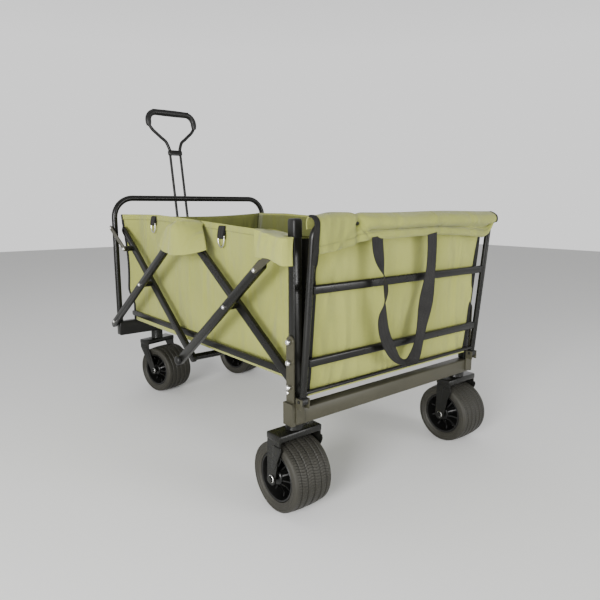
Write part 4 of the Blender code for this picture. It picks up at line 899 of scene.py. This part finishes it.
def rim_shapes(centre, axis):
    """A barrel with rolled lips, a hub, a thin web at half width and ten ribs a side from hub to barrel."""
    barrel_half = WHEEL_HALF - 0.0055
    inner = RIM_RADIUS - 0.0042
    near = np.array([(RIM_RADIUS - 0.0002, barrel_half - 0.003), (RIM_RADIUS + 0.0004, barrel_half - 0.001),
                     (RIM_RADIUS - 0.0012, barrel_half + 0.0008), (inner, barrel_half),
                     (inner - 0.0012, barrel_half - 0.004), (inner - 0.002, 0.012), (inner - 0.0026, 0.004),
                     (0.018, 0.0015), (0.0165, 0.04), (0.0145, 0.042), (0.006, 0.042)])
    far = near[::-1] * np.array([1.0, -1.0])
    barrel = np.vstack([far[-1:], near, far[:-1]])
    shapes = [turned_shape(barrel, centre, axis)]
    side = unit(np.cross(axis, [0.0, 0, 1]))
    up = np.cross(side, axis)
    for turn in np.arange(10) * PI / 5 + 0.2:
        ray = math.cos(turn) * side + math.sin(turn) * up
        flat = np.cross(axis, ray)
        for half in (1.0, -1.0):
            rows = []
            for out, high in ((0.015, 0.0385), (0.026, 0.029), (0.038, 0.0245), (inner + 0.0005, 0.0275)):
                for thick in (-0.0016, 0.0016):
                    rows.append([centre + ray * out + flat * thick + axis * half * 0.001,
                                 centre + ray * out + flat * thick + axis * half * high])
            r = np.array(rows).reshape(4, 2, 2, 3)
            ring = np.stack([r[:, 0, 0], r[:, 0, 1], r[:, 1, 1], r[:, 1, 0]], 1)
            shapes.append(grid_shape(ring, (0.03, 0.06), close_v=True, caps=True))
    return shapes


WHEELS = {}
for side, way in SIDES.items():
    for row in ("rear", "front"):
        joint = JOINTS[f"{row}_wheel_{side}_spin"]
        WHEELS[(row, side)] = (np.array(joint["pos_m"], float), unit(np.array(joint["axis"], float)))
for (row, side), (_, axis) in WHEELS.items():
    centre = np.array(middle(f"{row}_tyre_{side}"))
    body = f"{row}_wheel_{side}"
    piece(f"{row}_tyre_tread_{side}", turned_shape(tyre_profile(), centre, axis, 128), TYRE, body,
          replaces=(f"{row}_tyre_{side}",))
    piece(f"{row}_rim_spoked_{side}", rim_shapes(centre, axis), RIM, body, smooth=32,
          replaces=(f"{row}_rim_{side}",))

# ---- rivets, bolts and caps
def dome(centre, axis, radius, height):
    """A low dome with a short straight rim, turned round its axis."""
    angle = np.linspace(0, PI / 2, 8)
    profile = np.stack([radius * np.cos(angle), height * 0.35 + height * 0.65 * np.sin(angle)], 1)
    profile[-1, 0] = 1e-5
    profile = np.vstack([[[1e-5, -0.001], [radius, -0.001]], profile])
    return turned_shape(profile, centre, axis, 20)


def domes(name, places, body):
    return piece(name, [dome(*place) for place in places], ZINC, body, smooth=50)


STRUT_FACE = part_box("rear_strut_left")[1].y
RISER_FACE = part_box("front_riser_left")[1].y
REAR_RISER_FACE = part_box("rear_riser_left")[1].y
FRONT_LINK_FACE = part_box("front_link_left")[1].y
BRACKET_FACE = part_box("rear_bracket_left")[1].y
BRACKET_RIVETS_Z = (0.36, 0.318, 0.268)
CROSS_TUBE_Z = 0.224
BOLT_OUT, BOLT_RADIUS, BOLT_HIGH = 0.0515, 0.0085, 0.0062
RIVET_SUNK = 0.0022
for side, way in SIDES.items():
    out = np.array([0.0, way, 0.0])

    def rivet(x, face, z, radius=0.0048):
        return (np.array([x, way * (face - RIVET_SUNK), z]), out, radius, 0.0034 + RIVET_SUNK)

    def bolts(centre, axis):
        return [(centre + axis * half * BOLT_OUT, axis * half, BOLT_RADIUS, BOLT_HIGH) for half in (1.0, -1.0)]

    domes(f"strut_rivets_{side}", [rivet(CROSSING[0], STRUT_FACE, CROSSING[2])], "rear_struts")
    cap = dome(np.array([MID_X, way * (STRUT_FACE - 0.003), CROSS_TUBE_Z]), out, 0.0125, 0.011)
    piece(f"cross_tube_cap_{side}", cap, PLASTIC, "rear_struts", smooth=50)
    domes(f"riser_rivets_{side}", [rivet(FRONT_CROSSING[0], RISER_FACE, FRONT_CROSSING[2]),
                                   rivet(FRONT_FOOT[0], RISER_FACE, FRONT_FOOT[2])], "front_risers")
    domes(f"foot_rivets_{side}", [rivet(FOOT[0], REAR_RISER_FACE, FOOT[2])], "rear_risers")
    domes(f"rear_link_rivets_{side}", [rivet(LINK_PIN_REAR, LINK_FACE, LINK_PIN_Z)], "rear_links")
    domes(f"front_link_rivets_{side}", [rivet(LINK_PIN_FRONT, FRONT_LINK_FACE, LINK_PIN_Z),
                                        rivet(FRONT_X, FRONT_LINK_FACE, LINK_POST_Z)], "front_links")
    domes(f"bracket_rivets_{side}", [rivet(REAR_X, BRACKET_FACE, z, 0.0056) for z in BRACKET_RIVETS_Z], "root")
    domes(f"rear_axle_bolts_{side}", bolts(WHEELS[("rear", side)][0], np.array([0.0, 1.0, 0.0])), "root")
    domes(f"front_axle_bolts_{side}", bolts(*WHEELS[("front", side)]), f"caster_{side}")
    cap = box_shape((REAR_X - POST_HALF - 0.001, way * POST_Y - POST_HALF - 0.001, POST_TOP - 0.036),
                    (REAR_X + POST_HALF + 0.001, way * POST_Y + POST_HALF + 0.001, POST_TOP + 0.003), 0.005)
    piece(f"post_cap_{side}", cap, PLASTIC, "root", smooth=30)

# ---- pressed panels on the fork legs
PANEL_RISES = [0.026, 0.029, 0.066, 0.074, 0.076]
PANEL_SCALES = [0.35, 0.46, 0.92, 0.96, 0.8]
rise = np.linspace(PANEL_RISES[0], PANEL_RISES[-1], 12)
for (row, side), (axle, axis) in WHEELS.items():
    body = "root" if row == "rear" else f"caster_{side}"
    crown_x, crown_y = (REAR_X, axle[1]) if row == "rear" else tuple(JOINTS[f"caster_{side}_swivel"]["pos_m"][:2])
    trail = np.array([crown_x - axle[0], crown_y - axle[1], 0.0])
    panels = []
    for half in (1.0, -1.0):
        line = axle + axis * half * 0.0545 + trail * np.clip(rise / 0.072, 0, 1)[:, None]
        line = line + np.array([0, 0, 1.0]) * rise[:, None]
        panels.append(sweep_shape(line, flat_section(0.027, 0.0034, 0.35), axis,
                                  scale=np.interp(rise, PANEL_RISES, PANEL_SCALES)))
    piece(f"{row}_fork_panels_{side}", panels, BLACK_PAINT, body, smooth=35)

# ---- floor, lights and camera
bpy.ops.mesh.primitive_plane_add(size=14, location=(0, 0, 0))
ground = bpy.context.object
ground.name = "studio_floor"
paper, tree, shader = blank_material("studio_paper", 0.85, specular=0.2)
shader.inputs["Base Color"].default_value = (0.86, 0.86, 0.85, 1)
ground.data.materials.append(paper)


def light(name, place, size, power):
    """An area light aimed at the wagon's middle."""
    lamp = bpy.data.lights.new(name, "AREA")
    lamp.shape = "RECTANGLE"
    lamp.size, lamp.size_y = size
    lamp.energy = power
    obj = add_object(name, lamp)
    obj.location = place
    obj.rotation_euler = (Vector((0, 0, 0.3)) - Vector(place)).to_track_quat("-Z", "Y").to_euler()


light("key", (-1.7, 2.8, 0.95), (1.3, 1.1), 150)
light("fill", (-3.0, -0.9, 0.6), (1.2, 0.9), 50)
light("top", (0.6, 0.2, 3.0), (2.4, 2.4), 14)
world = bpy.data.worlds.new("studio")
world.use_nodes = True
sky = world.node_tree
sky.nodes["Background"].inputs["Color"].default_value = (1.0, 1.0, 1.0, 1)
height = put(sky, "SeparateXYZ", Vector=put(sky, "TexCoord").outputs["Generated"]).outputs["Z"]
level = put(sky, "MapRange", Value=height, From_Min=0.25, From_Max=0.75, To_Min=1.15, To_Max=0.3)
sky.links.new(level.outputs[0], sky.nodes["Background"].inputs["Strength"])
bpy.context.scene.world = world

eye = bpy.data.cameras.new("view")
eye.sensor_width = 36.0
eye.lens = 32.914
view = add_object("view", eye)
YAW, PITCH = -0.6849, 0.1707
view.location = (-1.322, 0.9395, 0.6218)
ahead = Vector((math.cos(YAW) * math.cos(PITCH), math.sin(YAW) * math.cos(PITCH), -math.sin(PITCH)))
view.rotation_mode = "QUATERNION"
view.rotation_quaternion = ahead.to_track_quat("-Z", "Y")
bpy.context.scene.camera = view
